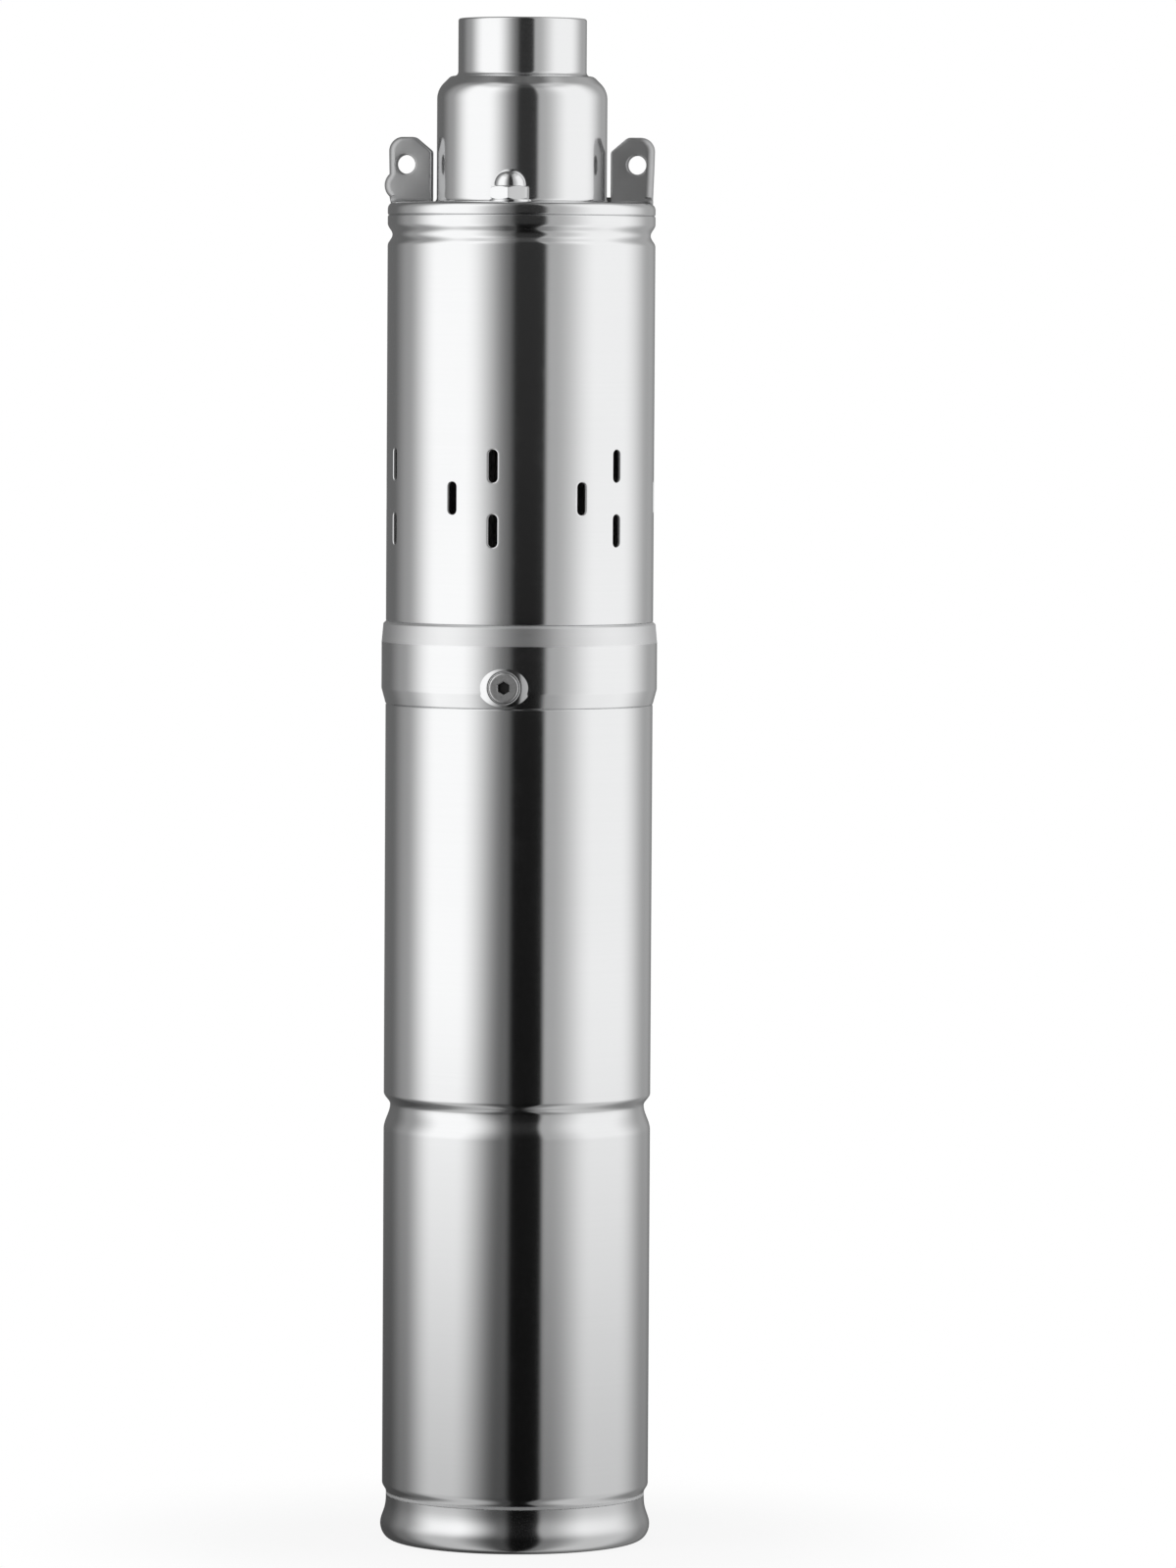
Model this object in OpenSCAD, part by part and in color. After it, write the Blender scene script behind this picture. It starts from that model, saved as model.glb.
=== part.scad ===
// Borehole submersible pump of the screw type: outlet head, perforated intake sleeve with the
// screw pump inside, end bell with the shaft seal, motor tube and base cap.
// Millimetres. +Z runs up the pump's axis, the origin is the middle of the base's underside, and the
// front, with one cap nut and the oil plug, faces -Y.

/* [Body] */
// Outer diameter of the intake sleeve and of the motor tube
body_d = 96; // [94:0.5:104]
// Wall of both stainless tubes
tube_wall = 1.2; // [0.8:0.1:1.6]
// How far the end bell's band stands proud of the tubes
band_proud = 1.5; // [0.8:0.1:2.5]

/* [Section lengths] */
// Visible height of the base cap
base_h = 16; // [13:0.5:20]
// Length of the motor tube
motor_tube_len = 285.6; // [260:0.2:340]
// Visible height of the end bell's band
band_h = 29.6; // [27:0.2:36]
// Length of the intake sleeve
sleeve_len = 145.5; // [138:0.5:170]
// Thickness of the outlet head's flange
flange_h = 4.6; // [4:0.1:8]
// Height of the outlet head's neck
neck_h = 45.2; // [38:0.2:60]
// Height of the outlet socket
outlet_h = 20.6; // [18:0.2:30]

/* [Outlet head] */
// Outer diameter of the outlet socket
outlet_d = 46; // [42:0.2:48]
// Bore of the outlet socket, for a G1 thread
outlet_bore_d = 30.3; // [26:0.1:34]
// Length of the outlet bore
outlet_bore_len = 20; // [16:0.5:24]
// Wall of the neck
neck_wall = 5.5; // [4:0.5:7]
// Radius of the neck's shoulder
shoulder_r = 7.2; // [5:0.2:7.4]
// Depth of the head's plug inside the sleeve
head_plug_h = 22; // [20:0.5:26]
// Bevel on machined edges
edge_bevel = 0.8; // [0.4:0.1:1.2]

/* [Lifting lugs] */
// Thickness of a lug
lug_t = 6; // [4:0.5:8]
// Height of a lug above the flange
lug_h = 23.4; // [21:0.1:28]
// Radius of a lug's outer top corner
lug_r = 5; // [3:0.1:6]
// Height of a lug's inner edge above the flange, where its slope starts
lug_edge_h = 18.3; // [14:0.1:19]
// Steepness of the slope from there to the lug's top, in degrees
lug_slope = 40; // [35:1:55]
// Gap between a lug and the neck
lug_gap = 1.7; // [0.8:0.1:2.4]
// Diameter of a rope hole
lug_hole_d = 6.8; // [5:0.2:8]
// Height of a rope hole above the flange
lug_hole_h = 13.6; // [12:0.2:16]
// Distance from the tubes' outside in to a rope hole's axis
lug_hole_in = 6.4; // [6:0.1:7.5]
// Radius of the heel at the left lug's root
lug_heel_r = 5.5; // [4:0.5:6]

/* [Tie studs and cap nuts] */
// Diameter of a tie stud
stud_d = 8; // [6:0.5:8]
// Distance from the tubes' outside in to the studs' axes
stud_inset = 9.5; // [8.6:0.1:10]
// Distance from the studs' axes in to the neck, which leaves room for the nuts
nut_room = 8; // [7.8:0.1:9]
// Width across a cap nut's flats
nut_af = 13; // [11:0.5:13]
// Height of a cap nut's hexagon
nut_hex_h = 4.6; // [4:0.1:5]
// Height of a whole cap nut
nut_h = 10.8; // [10.6:0.1:13]
// Diameter of a cap nut's dome
nut_dome_d = 11.4; // [10.2:0.1:11.6]
// Diameter of the washer under a cap nut
nut_washer_d = 15; // [13:0.5:15]
// Thickness of the washer under a cap nut
nut_washer_t = 0.8; // [0.6:0.1:1.6]

/* [Cable inlet] */
// Bore of the grommets, which is the cable's diameter
cable_d = 8; // [6:0.5:9]
// Rubber around the cable in a grommet
grommet_wall = 1.5; // [1:0.1:2]

/* [Intake slots] */
// Length of an intake slot
slot_len = 11.6; // [9:0.2:14]
// Width of an intake slot
slot_w = 3.3; // [2.5:0.1:3.8]
// Height of the single slots above the sleeve's lower edge
slot_row_h = 45; // [40:0.1:52]
// Height of a pair's slots above and below the single slot
slot_pair_rise = 11.5; // [9:0.1:13]
// Number of slot groups around the sleeve
slot_groups = 6; // [4:1:6]
// Angle from one slot group to the next
slot_group_step = 57.4; // [52:0.2:60]
// Angle from a group's single slot to its pair
slot_pair_step = 18.6; // [14:0.2:22]
// Angle from the front to the first single slot
slot_first = -81.4; // [-90:0.2:-74]

/* [Rolled grooves] */
// Depth of the rolled groove under the outlet head
head_groove_depth = 1.7; // [1:0.1:2]
// Half width of the rolled groove under the outlet head
head_groove_half = 4; // [3.5:0.1:5.5]
// Depth of the rolled groove at the lower bearing holder
motor_groove_depth = 2.3; // [1.5:0.1:2.8]
// Width of that groove's steep upper side
motor_groove_up = 4.4; // [3.5:0.1:6]
// Width of that groove's gentle lower side
motor_groove_down = 9; // [7:0.1:9.5]
// Depth that the motor tube's lower end is drawn in
swage_depth = 1.4; // [0.8:0.1:1.8]
// Length of the drawn-in end
swage_len = 6; // [5:0.2:8]

/* [Base cap] */
// How far the base bead stands proud of the tube
bead_proud = 0.6; // [0.2:0.1:1.5]
// Height of the bead's widest line above the floor
bead_z = 5.5; // [5:0.5:9]
// Radius of the flat foot, taken in from the tube's radius
foot_inset = 3.6; // [2:0.2:6]
// Thickness of the base cap's floor
base_floor = 10; // [7:0.5:12]
// Height of the base cap's spigot inside the tube
base_spigot_h = 19; // [17:0.5:24]
// Wall of the base cap's spigot
base_spigot_wall = 5; // [4:0.5:6]

/* [Oil plug] */
// Height of the domed boss around the plug, measured up the pump
plug_boss_d = 13.6; // [12.4:0.2:14]
// How far that boss stands out from the band
plug_boss_h = 1.2; // [0.8:0.1:1.6]
// Diameter of the plug's thread
plug_thread_d = 8; // [6:0.5:10]
// Diameter of the plug's head
plug_head_d = 10.6; // [10:0.1:11]
// Width across the plug's hexagon socket
plug_socket_af = 4; // [4:0.5:6]
// Height of the plug above the motor tube's upper edge
plug_rise = 7.6; // [7.4:0.1:10]

/* [Screw pump] */
// Radius of the screw's round section
screw_r = 8.5; // [7.5:0.1:9]
// Eccentricity of the screw
screw_ecc = 2.5; // [2:0.1:2.8]
// Pitch of the screw, half of the stator's
screw_pitch = 24; // [20:1:30]
// Length of the stator
stator_len = 64; // [58:1:68]
// Outer diameter of the stator's rubber
stator_rubber_d = 44; // [42:0.5:45]
// Wall of the stator's steel tube
stator_tube_wall = 2; // [1.5:0.1:2.5]
// Depth of the stator's seat in the outlet head
stator_seat = 10; // [8:0.5:12]
// How far the screw stands out of the stator at each end
screw_overrun = 4; // [2:0.5:6]
// Diameter of the flexible shaft's ends
flex_d = 6; // [5:0.2:7]
// How much slimmer its bending waist is, on the radius
flex_waist = 0.7; // [0.4:0.1:1]

/* [Intake bracket] */
// Thickness of the bracket's base ring
bracket_base_h = 5; // [4:0.5:6]
// Thickness of the ledge under the stator
bracket_ledge_h = 6; // [5:0.5:8]
// Depth of the socket that holds the stator
bracket_socket_h = 8; // [6:0.5:10]
// Wall of the socket
bracket_wall = 4; // [3:0.5:5]
// Number of legs
bracket_legs = 3; // [3:1:4]
// Angle that one leg spans
bracket_leg_span = 28; // [20:1:34]

/* [Shaft and shaft seal] */
// Diameter of the motor shaft at its bearings
shaft_d = 15; // [14:0.2:16]
// Step in the shaft's radius on either side of the bearings
shaft_step = 1.8; // [1.2:0.1:2.2]
// Height of the end bell's face inside the sleeve
bell_face_h = 6; // [5:0.5:8]
// Wall over the oil chamber
oil_roof = 10; // [9:0.5:12]
// Radius of the oil chamber
oil_r = 22; // [19:0.5:24]
// Length of the rotating seal head
seal_head_h = 13; // [11:0.5:15]
// Wire of the seal's spring
spring_wire = 1.6; // [1.2:0.1:2]
// Turns of the seal's spring
spring_turns = 4; // [3:1:5]
// Length of the coupling
coupling_len = 15; // [13:0.5:17]
// Wall of the coupling around the shaft's end
coupling_wall = 5; // [4:0.5:6]

/* [Bearings] */
// Outer diameter of a bearing
bearing_d = 35; // [33:0.5:37]
// Width of a bearing
bearing_w = 11; // [10:0.5:12]
// Diameter of a ball
ball_d = 6; // [5.4:0.1:6.4]
// Number of balls in a bearing
ball_count = 8; // [6:1:9]

/* [Motor] */
// Distance from the motor tube's upper edge down to its rolled groove
motor_section = 144.5; // [136:0.5:150]
// Length of the end bell's spigot in the motor tube
bell_spigot_h = 24; // [22:0.5:28]
// Length of the laminated cores
core_len = 60; // [50:1:66]
// Bore of the stator core
core_bore_d = 50; // [46:0.5:54]
// Gap between the rotor and the stator core
air_gap = 0.5; // [0.4:0.05:0.8]
// Number of winding slots in the stator core
core_slots = 24; // [18:6:24]
// Depth of a winding slot
core_slot_h = 11; // [9:0.5:12]
// Width of a winding slot
core_slot_w = 3.6; // [3:0.1:4]
// Height of the windings' end turns
end_turn_h = 15; // [12:0.5:16]
// Height of the rotor's end rings
end_ring_h = 8; // [6:0.5:10]

/* [Capacitor] */
// Diameter of the capacitor
capacitor_d = 45; // [40:0.5:50]
// Height of the capacitor's can
capacitor_h = 68; // [60:1:74]
// Floor of the capacitor's cradle
cradle_floor = 4; // [3:0.5:6]
// Height of the cradle's cup
cradle_cup_h = 26; // [20:1:32]
// Wall of the cradle's cup
cradle_wall = 2.4; // [2:0.1:3]

/* [Hidden] */
$fn = 72;

// Clearances: a push fit, a screwed or sliding fit, a running gap and a ball's play in its race
push_fit = 0.05;
free_fit = 0.4;
run_gap = 0.3;
ball_play = 0.1;
// How far a cutting shape passes the faces that it cuts
over = 1;

// Radii that the tubes set
body_r = body_d / 2;
tube_ir = body_r - tube_wall;
plug_r = tube_ir - push_fit;
band_r = body_r + band_proud;

// Levels up the pump, from the floor to the outlet
z_base_top = base_h;
z_motor_top = z_base_top + motor_tube_len;
z_band_top = z_motor_top + band_h;
z_bell_face = z_band_top + bell_face_h;
z_sleeve_top = z_band_top + sleeve_len;
z_flange_top = z_sleeve_top + flange_h;
z_neck_top = z_flange_top + neck_h;
z_top = z_neck_top + outlet_h;

// Outlet head
outlet_r = outlet_d / 2;
outlet_bore_r = outlet_bore_d / 2;
stud_circle_r = body_r - stud_inset;
neck_r = stud_circle_r - nut_room;
shoulder_round = min(shoulder_r, neck_r - outlet_r - push_fit);
chamber_r = neck_r - neck_wall;
z_plug_bottom = z_sleeve_top - head_plug_h;
z_head_groove = z_sleeve_top - head_groove_half - 3;
z_bore_end = z_top - outlet_bore_len;
chamber_cone_h = 11;

// Seals: an O-ring's section, its groove and its place on a plug
o_ring_d = 2;
o_ring_groove_w = 2.8;
o_ring_groove_r = plug_r - o_ring_d;
o_ring_mid_r = (o_ring_groove_r + tube_ir) / 2;
z_head_o_ring = z_plug_bottom + 4;
z_bell_o_ring = z_motor_top - 7;
z_base_o_ring = z_base_top + base_spigot_h - 4;

// Studs, nuts and grommets
stud_r = stud_d / 2;
stud_angles = [-90, 90];
stud_depth = 12;
stud_in_nut = nut_h - 4;
z_nut = z_flange_top + nut_washer_t;
cable_r = cable_d / 2;
grommet_r = cable_r + grommet_wall;
grommet_angle = 45;
grommet_lip = 1.6;
grommet_lip_h = 2.4;

// Screw pump
stator_r = stator_rubber_d / 2 + stator_tube_wall;
z_stator_top = z_plug_bottom + stator_seat;
z_stator_bottom = z_stator_top - stator_len;
stator_ledge = 2.5;
ledge_r = stator_rubber_d / 2 - 0.5;
screw_sides = 24;
screw_step = 15;
z_screw_bottom = z_stator_bottom - screw_overrun;
screw_len = stator_len + 2 * screw_overrun;
screw_shank_h = 11;
screw_shank_r = screw_r - 1;
z_shank = z_screw_bottom - screw_shank_h;

// Intake bracket
z_bracket_ledge = z_stator_bottom - bracket_ledge_h;
bracket_socket_r = stator_r + push_fit;
bracket_r = bracket_socket_r + bracket_wall;
bracket_base_r = plug_r - 2.2;
bracket_hole_r = stator_r + 3;
bracket_leg_foot = bracket_hole_r + 1;
bracket_leg_head = bracket_r - bracket_wall - 0.6;

// Bearings and their places
shaft_r = shaft_d / 2;
bearing_r = bearing_d / 2;
ball_r = ball_d / 2;
ball_circle_r = (shaft_r + bearing_r) / 2;
bearing_land = ball_r * 0.57;
z_motor_groove = z_motor_top - motor_section;
z_holder_bottom = z_motor_groove - motor_groove_down - 1;
z_lower_bearing = z_motor_groove - 1;
z_holder_top = z_lower_bearing + bearing_w;
z_bell_bottom = z_motor_top - bell_spigot_h;
z_upper_bearing = z_bell_bottom + 4.5;
z_upper_bearing_top = z_upper_bearing + bearing_w;
bearing_ledge_r = bearing_r - 3;

// Shaft line and shaft seal
circlip_t = 1.2;
circlip_r = shaft_r + 2.5;
circlip_groove = 0.6;
z_spring_seat = z_upper_bearing_top + circlip_t;
spring_seat_t = 1.2;
spring_seat_r = bearing_ledge_r - 1.2;
z_oil_bottom = z_upper_bearing_top + 4;
z_oil_top = z_bell_face - oil_roof;
seal_film = 0.1;
seat_r = shaft_r + 6;
seat_cup_t = 2.5;
seat_pocket_r = seat_r + seat_cup_t + 2 * push_fit;
seat_h = oil_roof - 2.6;
seat_bore_r = shaft_r + 1.7;
z_seal_head_top = z_oil_top - seal_film;
z_seal_head = z_seal_head_top - seal_head_h;
spring_r = shaft_r + 3;
slinger_h = 4.6;
slinger_r = shaft_r + 6;
z_coupling = z_bell_face + 7;
shaft_end_r = shaft_r - 1.5;
z_shaft_end = z_coupling + coupling_len / 2 - 1;
z_shaft_bottom = z_lower_bearing - 4;
z_flex_bottom = z_shaft_end + 0.5;
coupling_r = shaft_end_r + coupling_wall;
coupling_screw_r = 2;
flex_r = flex_d / 2;

// Motor
core_bore_r = core_bore_d / 2;
core_r = plug_r;
z_core = (z_holder_top + z_bell_bottom - core_len) / 2;
z_core_top = z_core + core_len;
rotor_r = core_bore_r - air_gap;
core_shaft_r = shaft_r + shaft_step;
core_slot_in = core_bore_r + 1.2;
core_slot_mouth = 1.6;
end_ring_blades = 8;

// Base and capacitor
foot_r = body_r - foot_inset;
bead_r = body_r + bead_proud;
base_neck_r = body_r - swage_depth;
base_cup_r = plug_r - base_spigot_wall;
capacitor_r = capacitor_d / 2;
z_cradle = base_floor;
z_capacitor = z_cradle + cradle_floor;

// Points of an arc, of a curve that eases from one value to another, and a list turned round
function arc(c, r, a0, a1, n = 8) =
    [for (i = [0:n]) let (a = a0 + (a1 - a0) * i / n) c + r * [cos(a), sin(a)]];
function ease(t) = (1 - cos(180 * t)) / 2;
function flip(p) = [for (i = [len(p) - 1:-1:0]) p[i]];

// Depth of a rolled groove at height z: a smooth dip with its own width above and below the middle
function dip(z, mid, up, down, depth) =
    let (t = z >= mid ? (z - mid) / up : (mid - z) / down)
    t >= 1 ? 0 : depth * (1 - ease(t));

// A rolled groove as points down the outside of a wall of radius r, from bottom to top
function groove_line(r, mid, up, down, depth, n = 7) =
    let (zs = concat([for (i = [0:n - 1]) mid - down + down * i / n], [for (i = [0:n]) mid + up * i / n]))
    [for (z = zs) [r - dip(z, mid, up, down, depth), z]];

function head_groove_line(r) =
    groove_line(r, z_head_groove, head_groove_half, head_groove_half, head_groove_depth);
function motor_groove_line(r) =
    groove_line(r, z_motor_groove, motor_groove_up, motor_groove_down, motor_groove_depth);

// The drawn-in lower end of the motor tube, from its edge up to the full radius
swage_land = 1;
swage_points = 7;
function swage_line(r) = concat([[r - swage_depth, z_base_top]],
    [for (i = [0:swage_points]) let (t = i / swage_points)
        [r - swage_depth * (1 - ease(t)), z_base_top + swage_land + swage_len * t]]);

// The groove that an O-ring sits in, as points up a plug's side
function o_ring_groove(z) = [[plug_r, z - o_ring_groove_w / 2], [o_ring_groove_r, z - o_ring_groove_w / 2],
    [o_ring_groove_r, z + o_ring_groove_w / 2], [plug_r, z + o_ring_groove_w / 2]];

module lathe(points) {
    rotate_extrude()
        polygon(points);
}

module ring(r_in, r_out, z0, z1) {
    lathe([[r_in, z0], [r_out, z0], [r_out, z1], [r_in, z1]]);
}

module tube_along(outside) {
    lathe(concat(outside, [for (p = flip(outside)) [p[0] - tube_wall, p[1]]]));
}

module o_ring(z) {
    color("#1c1c1e")
        rotate_extrude()
            translate([o_ring_mid_r, z])
                circle(d = o_ring_d);
}

// Copies of a piece at the studs' or the grommets' places
module at_studs(z) {
    for (a = stud_angles)
        rotate([0, 0, a])
            translate([stud_circle_r, 0, z])
                children();
}

module at_cable(z) {
    rotate([0, 0, grommet_angle])
        translate([stud_circle_r, 0, z])
            children();
}

// Outlet head: socket, shouldered neck and flange over a plug that the sleeve is rolled onto
module outlet_head_body() {
    outside = concat(
        [[stator_r + push_fit, z_plug_bottom], [plug_r, z_plug_bottom]],
        o_ring_groove(z_head_o_ring),
        head_groove_line(plug_r),
        [[plug_r, z_sleeve_top], [body_r, z_sleeve_top],
         [body_r, z_flange_top - edge_bevel], [body_r - edge_bevel, z_flange_top],
         [neck_r, z_flange_top]],
        arc([neck_r - shoulder_round, z_neck_top - shoulder_round], shoulder_round, 0, 90),
        [[outlet_r, z_neck_top], [outlet_r, z_top - edge_bevel], [outlet_r - edge_bevel, z_top]]);
    inside = [[outlet_bore_r + edge_bevel, z_top], [outlet_bore_r, z_top - edge_bevel],
        [outlet_bore_r, z_bore_end], [chamber_r, z_bore_end - chamber_cone_h],
        [chamber_r, z_stator_top + 2 * stator_ledge], [ledge_r, z_stator_top + stator_ledge],
        [ledge_r, z_stator_top], [stator_r + push_fit, z_stator_top]];
    lathe(concat(outside, inside));
}

// Lifting lug: a plate that stands on the flange, with a rounded outer corner over the rope hole and a
// slope down to the neck's side
module lug_plate() {
    lug_in = neck_r + lug_gap;
    mid = [body_r - lug_r, lug_h - lug_r];
    top_in = lug_in + (lug_h - lug_edge_h) / tan(lug_slope);
    difference() {
        union() {
            polygon([[lug_in, -over], [body_r - edge_bevel, -over], [body_r, mid[1]], mid, [mid[0], lug_h],
                [top_in, lug_h], [lug_in, lug_edge_h]]);
            translate(mid)
                circle(r = lug_r);
            children();
        }
        translate([body_r - lug_hole_in, lug_hole_h])
            circle(d = lug_hole_d);
    }
}

// The heel that stands out from the left lug's outer edge, near its root
module lug_heel() {
    translate([band_r - lug_heel_r, lug_heel_r + 0.6])
        circle(r = lug_heel_r);
}

module on_flange() {
    translate([0, 0, z_flange_top])
        rotate([90, 0, 0])
            linear_extrude(height = lug_t, center = true)
                children();
}

module outlet_head() {
    color("#c9cbcd")
        difference() {
            union() {
                outlet_head_body();
                on_flange()
                    lug_plate();
                mirror([1, 0, 0])
                    on_flange()
                        lug_plate()
                            lug_heel();
            }
            at_studs(z_plug_bottom - over)
                cylinder(r = stud_r + free_fit, h = head_plug_h + flange_h + 2 * over);
            at_cable(z_plug_bottom - over)
                cylinder(r = grommet_r + push_fit, h = head_plug_h + flange_h + 2 * over);
        }
}

module cap_nut() {
    dome_r = nut_dome_d / 2;
    corner_r = nut_af / 2 / cos(30);
    corner_cut = corner_r - nut_af / 2 + 0.1;
    difference() {
        union() {
            intersection() {
                cylinder(r = corner_r, h = nut_hex_h, $fn = 6);
                lathe([[0, 0], [corner_r - corner_cut, 0], [corner_r, corner_cut * tan(30)],
                    [corner_r, nut_hex_h - corner_cut * tan(30)], [corner_r - corner_cut, nut_hex_h],
                    [0, nut_hex_h]]);
            }
            lathe(concat([[0, nut_hex_h - over], [dome_r, nut_hex_h - over]],
                arc([0, nut_h - dome_r], dome_r, 0, 90)));
        }
        translate([0, 0, -over])
            cylinder(r = stud_r + push_fit, h = stud_in_nut + push_fit + over);
    }
}

module cap_nuts() {
    color("#d6d8da")
        at_studs(z_nut)
            cap_nut();
}

module nut_washers() {
    color("#b4b7ba")
        at_studs(0)
            ring(stud_r + free_fit, nut_washer_d / 2, z_flange_top, z_nut);
}

module tie_studs() {
    color("#a6a9ac")
        at_studs(z_bell_face - stud_depth)
            cylinder(r = stud_r, h = z_nut + stud_in_nut - z_bell_face + stud_depth);
}

// Rubber grommet: a bush with a lip above the face that it passes through
module grommet(z0, z1) {
    color("#232326")
        at_cable(0)
            lathe([[cable_r, z0], [grommet_r, z0], [grommet_r, z1], [grommet_r + grommet_lip, z1],
                [grommet_r + grommet_lip, z1 + grommet_lip_h / 2], [grommet_r, z1 + grommet_lip_h],
                [cable_r, z1 + grommet_lip_h]]);
}

module cable_grommet() {
    grommet(z_plug_bottom, z_flange_top);
}

module lead_grommet() {
    grommet(z_bell_bottom, z_bell_face);
}

module head_o_ring() {
    o_ring(z_head_o_ring);
}

// Intake slot: a round-ended cutter that passes through the sleeve's front wall
module slot_cutter() {
    translate([0, over - tube_ir, 0])
        rotate([90, 0, 0])
            linear_extrude(height = tube_wall + 2 * over)
                union() {
                    square([slot_w, slot_len - slot_w], center = true);
                    for (s = [-1, 1])
                        translate([0, s * (slot_len - slot_w) / 2])
                            circle(d = slot_w);
                }
}

module intake_sleeve() {
    z_row = z_band_top + slot_row_h;
    color("#cfd1d3")
        difference() {
            tube_along(concat([[body_r, z_band_top]], head_groove_line(body_r), [[body_r, z_sleeve_top]]));
            for (g = [0:slot_groups - 1]) {
                turn = slot_first + g * slot_group_step;
                rotate([0, 0, turn])
                    translate([0, 0, z_row])
                        slot_cutter();
                for (s = [-1, 1])
                    rotate([0, 0, turn + slot_pair_step])
                        translate([0, 0, z_row + s * slot_pair_rise])
                            slot_cutter();
            }
        }
}

module stator_tube() {
    color("#9da0a3")
        ring(stator_rubber_d / 2, stator_r, z_stator_bottom, z_stator_top);
}

// Stator rubber: its cavity is a long hole that makes half a turn in one pitch of the screw
module stator_rubber() {
    cavity_r = screw_r + run_gap;
    cavity_h = stator_len + 2 * over;
    cavity_turn = 180 * cavity_h / screw_pitch;
    start = 180 * (screw_overrun - over) / screw_pitch;
    color("#2a2a2c")
        difference() {
            translate([0, 0, z_stator_bottom])
                cylinder(d = stator_rubber_d, h = stator_len);
            translate([0, 0, z_stator_bottom - over])
                rotate([0, 0, start])
                    linear_extrude(height = cavity_h, twist = -cavity_turn,
                            slices = ceil(2 * cavity_turn / screw_step), $fn = screw_sides)
                        hull()
                            for (s = [-1, 1])
                                translate([s * 2 * screw_ecc, 0])
                                    circle(r = cavity_r);
        }
}

// Intake bracket: a ring on the end bell, legs with open windows, and a socket for the stator
module intake_bracket() {
    color("#8d9092")
        difference() {
            union() {
                ring(bracket_hole_r, bracket_base_r, z_bell_face, z_bell_face + bracket_base_h);
                lathe([[ledge_r, z_bracket_ledge], [bracket_r, z_bracket_ledge],
                    [bracket_r, z_stator_bottom + bracket_socket_h],
                    [bracket_socket_r, z_stator_bottom + bracket_socket_h],
                    [bracket_socket_r, z_stator_bottom], [ledge_r, z_stator_bottom]]);
                for (i = [0:bracket_legs - 1])
                    rotate([0, 0, i * 360 / bracket_legs - bracket_leg_span / 2])
                        rotate_extrude(angle = bracket_leg_span)
                            polygon([[bracket_leg_foot, z_bell_face + bracket_base_h - over],
                                [bracket_leg_foot + bracket_wall, z_bell_face + bracket_base_h - over],
                                [bracket_leg_head + bracket_wall, z_bracket_ledge + over],
                                [bracket_leg_head, z_bracket_ledge + over]]);
            }
            at_studs(z_bell_face - over)
                cylinder(r = stud_r + free_fit, h = bracket_base_h + 2 * over);
            at_cable(z_bell_face - over)
                cylinder(r = grommet_r + grommet_lip + free_fit, h = bracket_base_h + 2 * over);
        }
}

// The end bell's boss around the oil plug: a shallow dome that runs out into the band's round side
plug_sink = 1.4;
plug_seat = band_r - plug_sink;
module plug_boss() {
    boss_r = plug_boss_d / 2;
    dome_r = (boss_r * boss_r + plug_boss_h * plug_boss_h) / (2 * plug_boss_h);
    root = band_r - 3;
    intersection() {
        translate([0, dome_r - band_r - plug_boss_h, z_motor_top + plug_rise])
            sphere(r = dome_r);
        translate([-1.6 * boss_r, -band_r - over - plug_boss_h, z_motor_top + plug_rise - boss_r - 0.1])
            cube([3.2 * boss_r, band_r + over + plug_boss_h - root, 2 * boss_r + 0.2]);
    }
}

// End bell: the band that shows between the tubes, with the oil chamber, the seal seat and the bearing
module end_bell() {
    band_cone_h = 7.4;
    band_taper_h = 5.5;
    outside = concat(
        [[bearing_r + push_fit, z_bell_bottom], [plug_r, z_bell_bottom]],
        o_ring_groove(z_bell_o_ring),
        [[plug_r, z_motor_top], [body_r, z_motor_top], [band_r, z_motor_top + band_taper_h],
         [band_r, z_band_top - band_cone_h], [band_r - 0.6, z_band_top - edge_bevel],
         [body_r, z_band_top], [plug_r, z_band_top], [plug_r, z_bell_face - edge_bevel],
         [plug_r - edge_bevel, z_bell_face], [seat_bore_r, z_bell_face]]);
    inside = [[seat_bore_r, z_oil_top + seat_h], [seat_pocket_r, z_oil_top + seat_h],
        [seat_pocket_r, z_oil_top], [oil_r, z_oil_top], [oil_r, z_oil_bottom],
        [bearing_ledge_r, z_oil_bottom], [bearing_ledge_r, z_upper_bearing_top],
        [bearing_r + push_fit, z_upper_bearing_top]];
    color("#bfc2c4")
        difference() {
            union() {
                lathe(concat(outside, inside));
                plug_boss();
            }
            at_studs(z_bell_face - stud_depth - push_fit)
                cylinder(r = stud_r + push_fit, h = stud_depth + over);
            at_cable(z_bell_bottom - over)
                cylinder(r = grommet_r + push_fit, h = z_bell_face - z_bell_bottom + 2 * over);
            translate([0, 0, z_motor_top + plug_rise])
                rotate([90, 0, 0]) {
                    cylinder(r = plug_thread_d / 2 + push_fit, h = band_r + over);
                    translate([0, 0, plug_seat])
                        cylinder(r = plug_head_d / 2 + push_fit, h = plug_sink + plug_boss_h + over);
                }
        }
}

// Oil plug: a plug with a flat head and a hexagon socket, on a sealing washer in the boss's counterbore
plug_washer_t = 0.8;
module oil_plug() {
    rim_r = 0.7;
    socket_h = 2.4;
    shank = plug_seat - oil_r - 4;
    head_r = plug_head_d / 2;
    top = plug_sink + plug_boss_h;
    color("#d6d8da")
        translate([0, -plug_seat, z_motor_top + plug_rise])
            rotate([90, 0, 0])
                difference() {
                    lathe(concat([[0, -shank], [plug_thread_d / 2, -shank], [plug_thread_d / 2, plug_washer_t],
                        [head_r, plug_washer_t]],
                        arc([head_r - rim_r, top - rim_r], rim_r, 0, 90, 5),
                        [[0, top]]));
                    translate([0, 0, top - socket_h])
                        cylinder(d = plug_socket_af / cos(30), h = socket_h + over, $fn = 6);
                }
}

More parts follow.
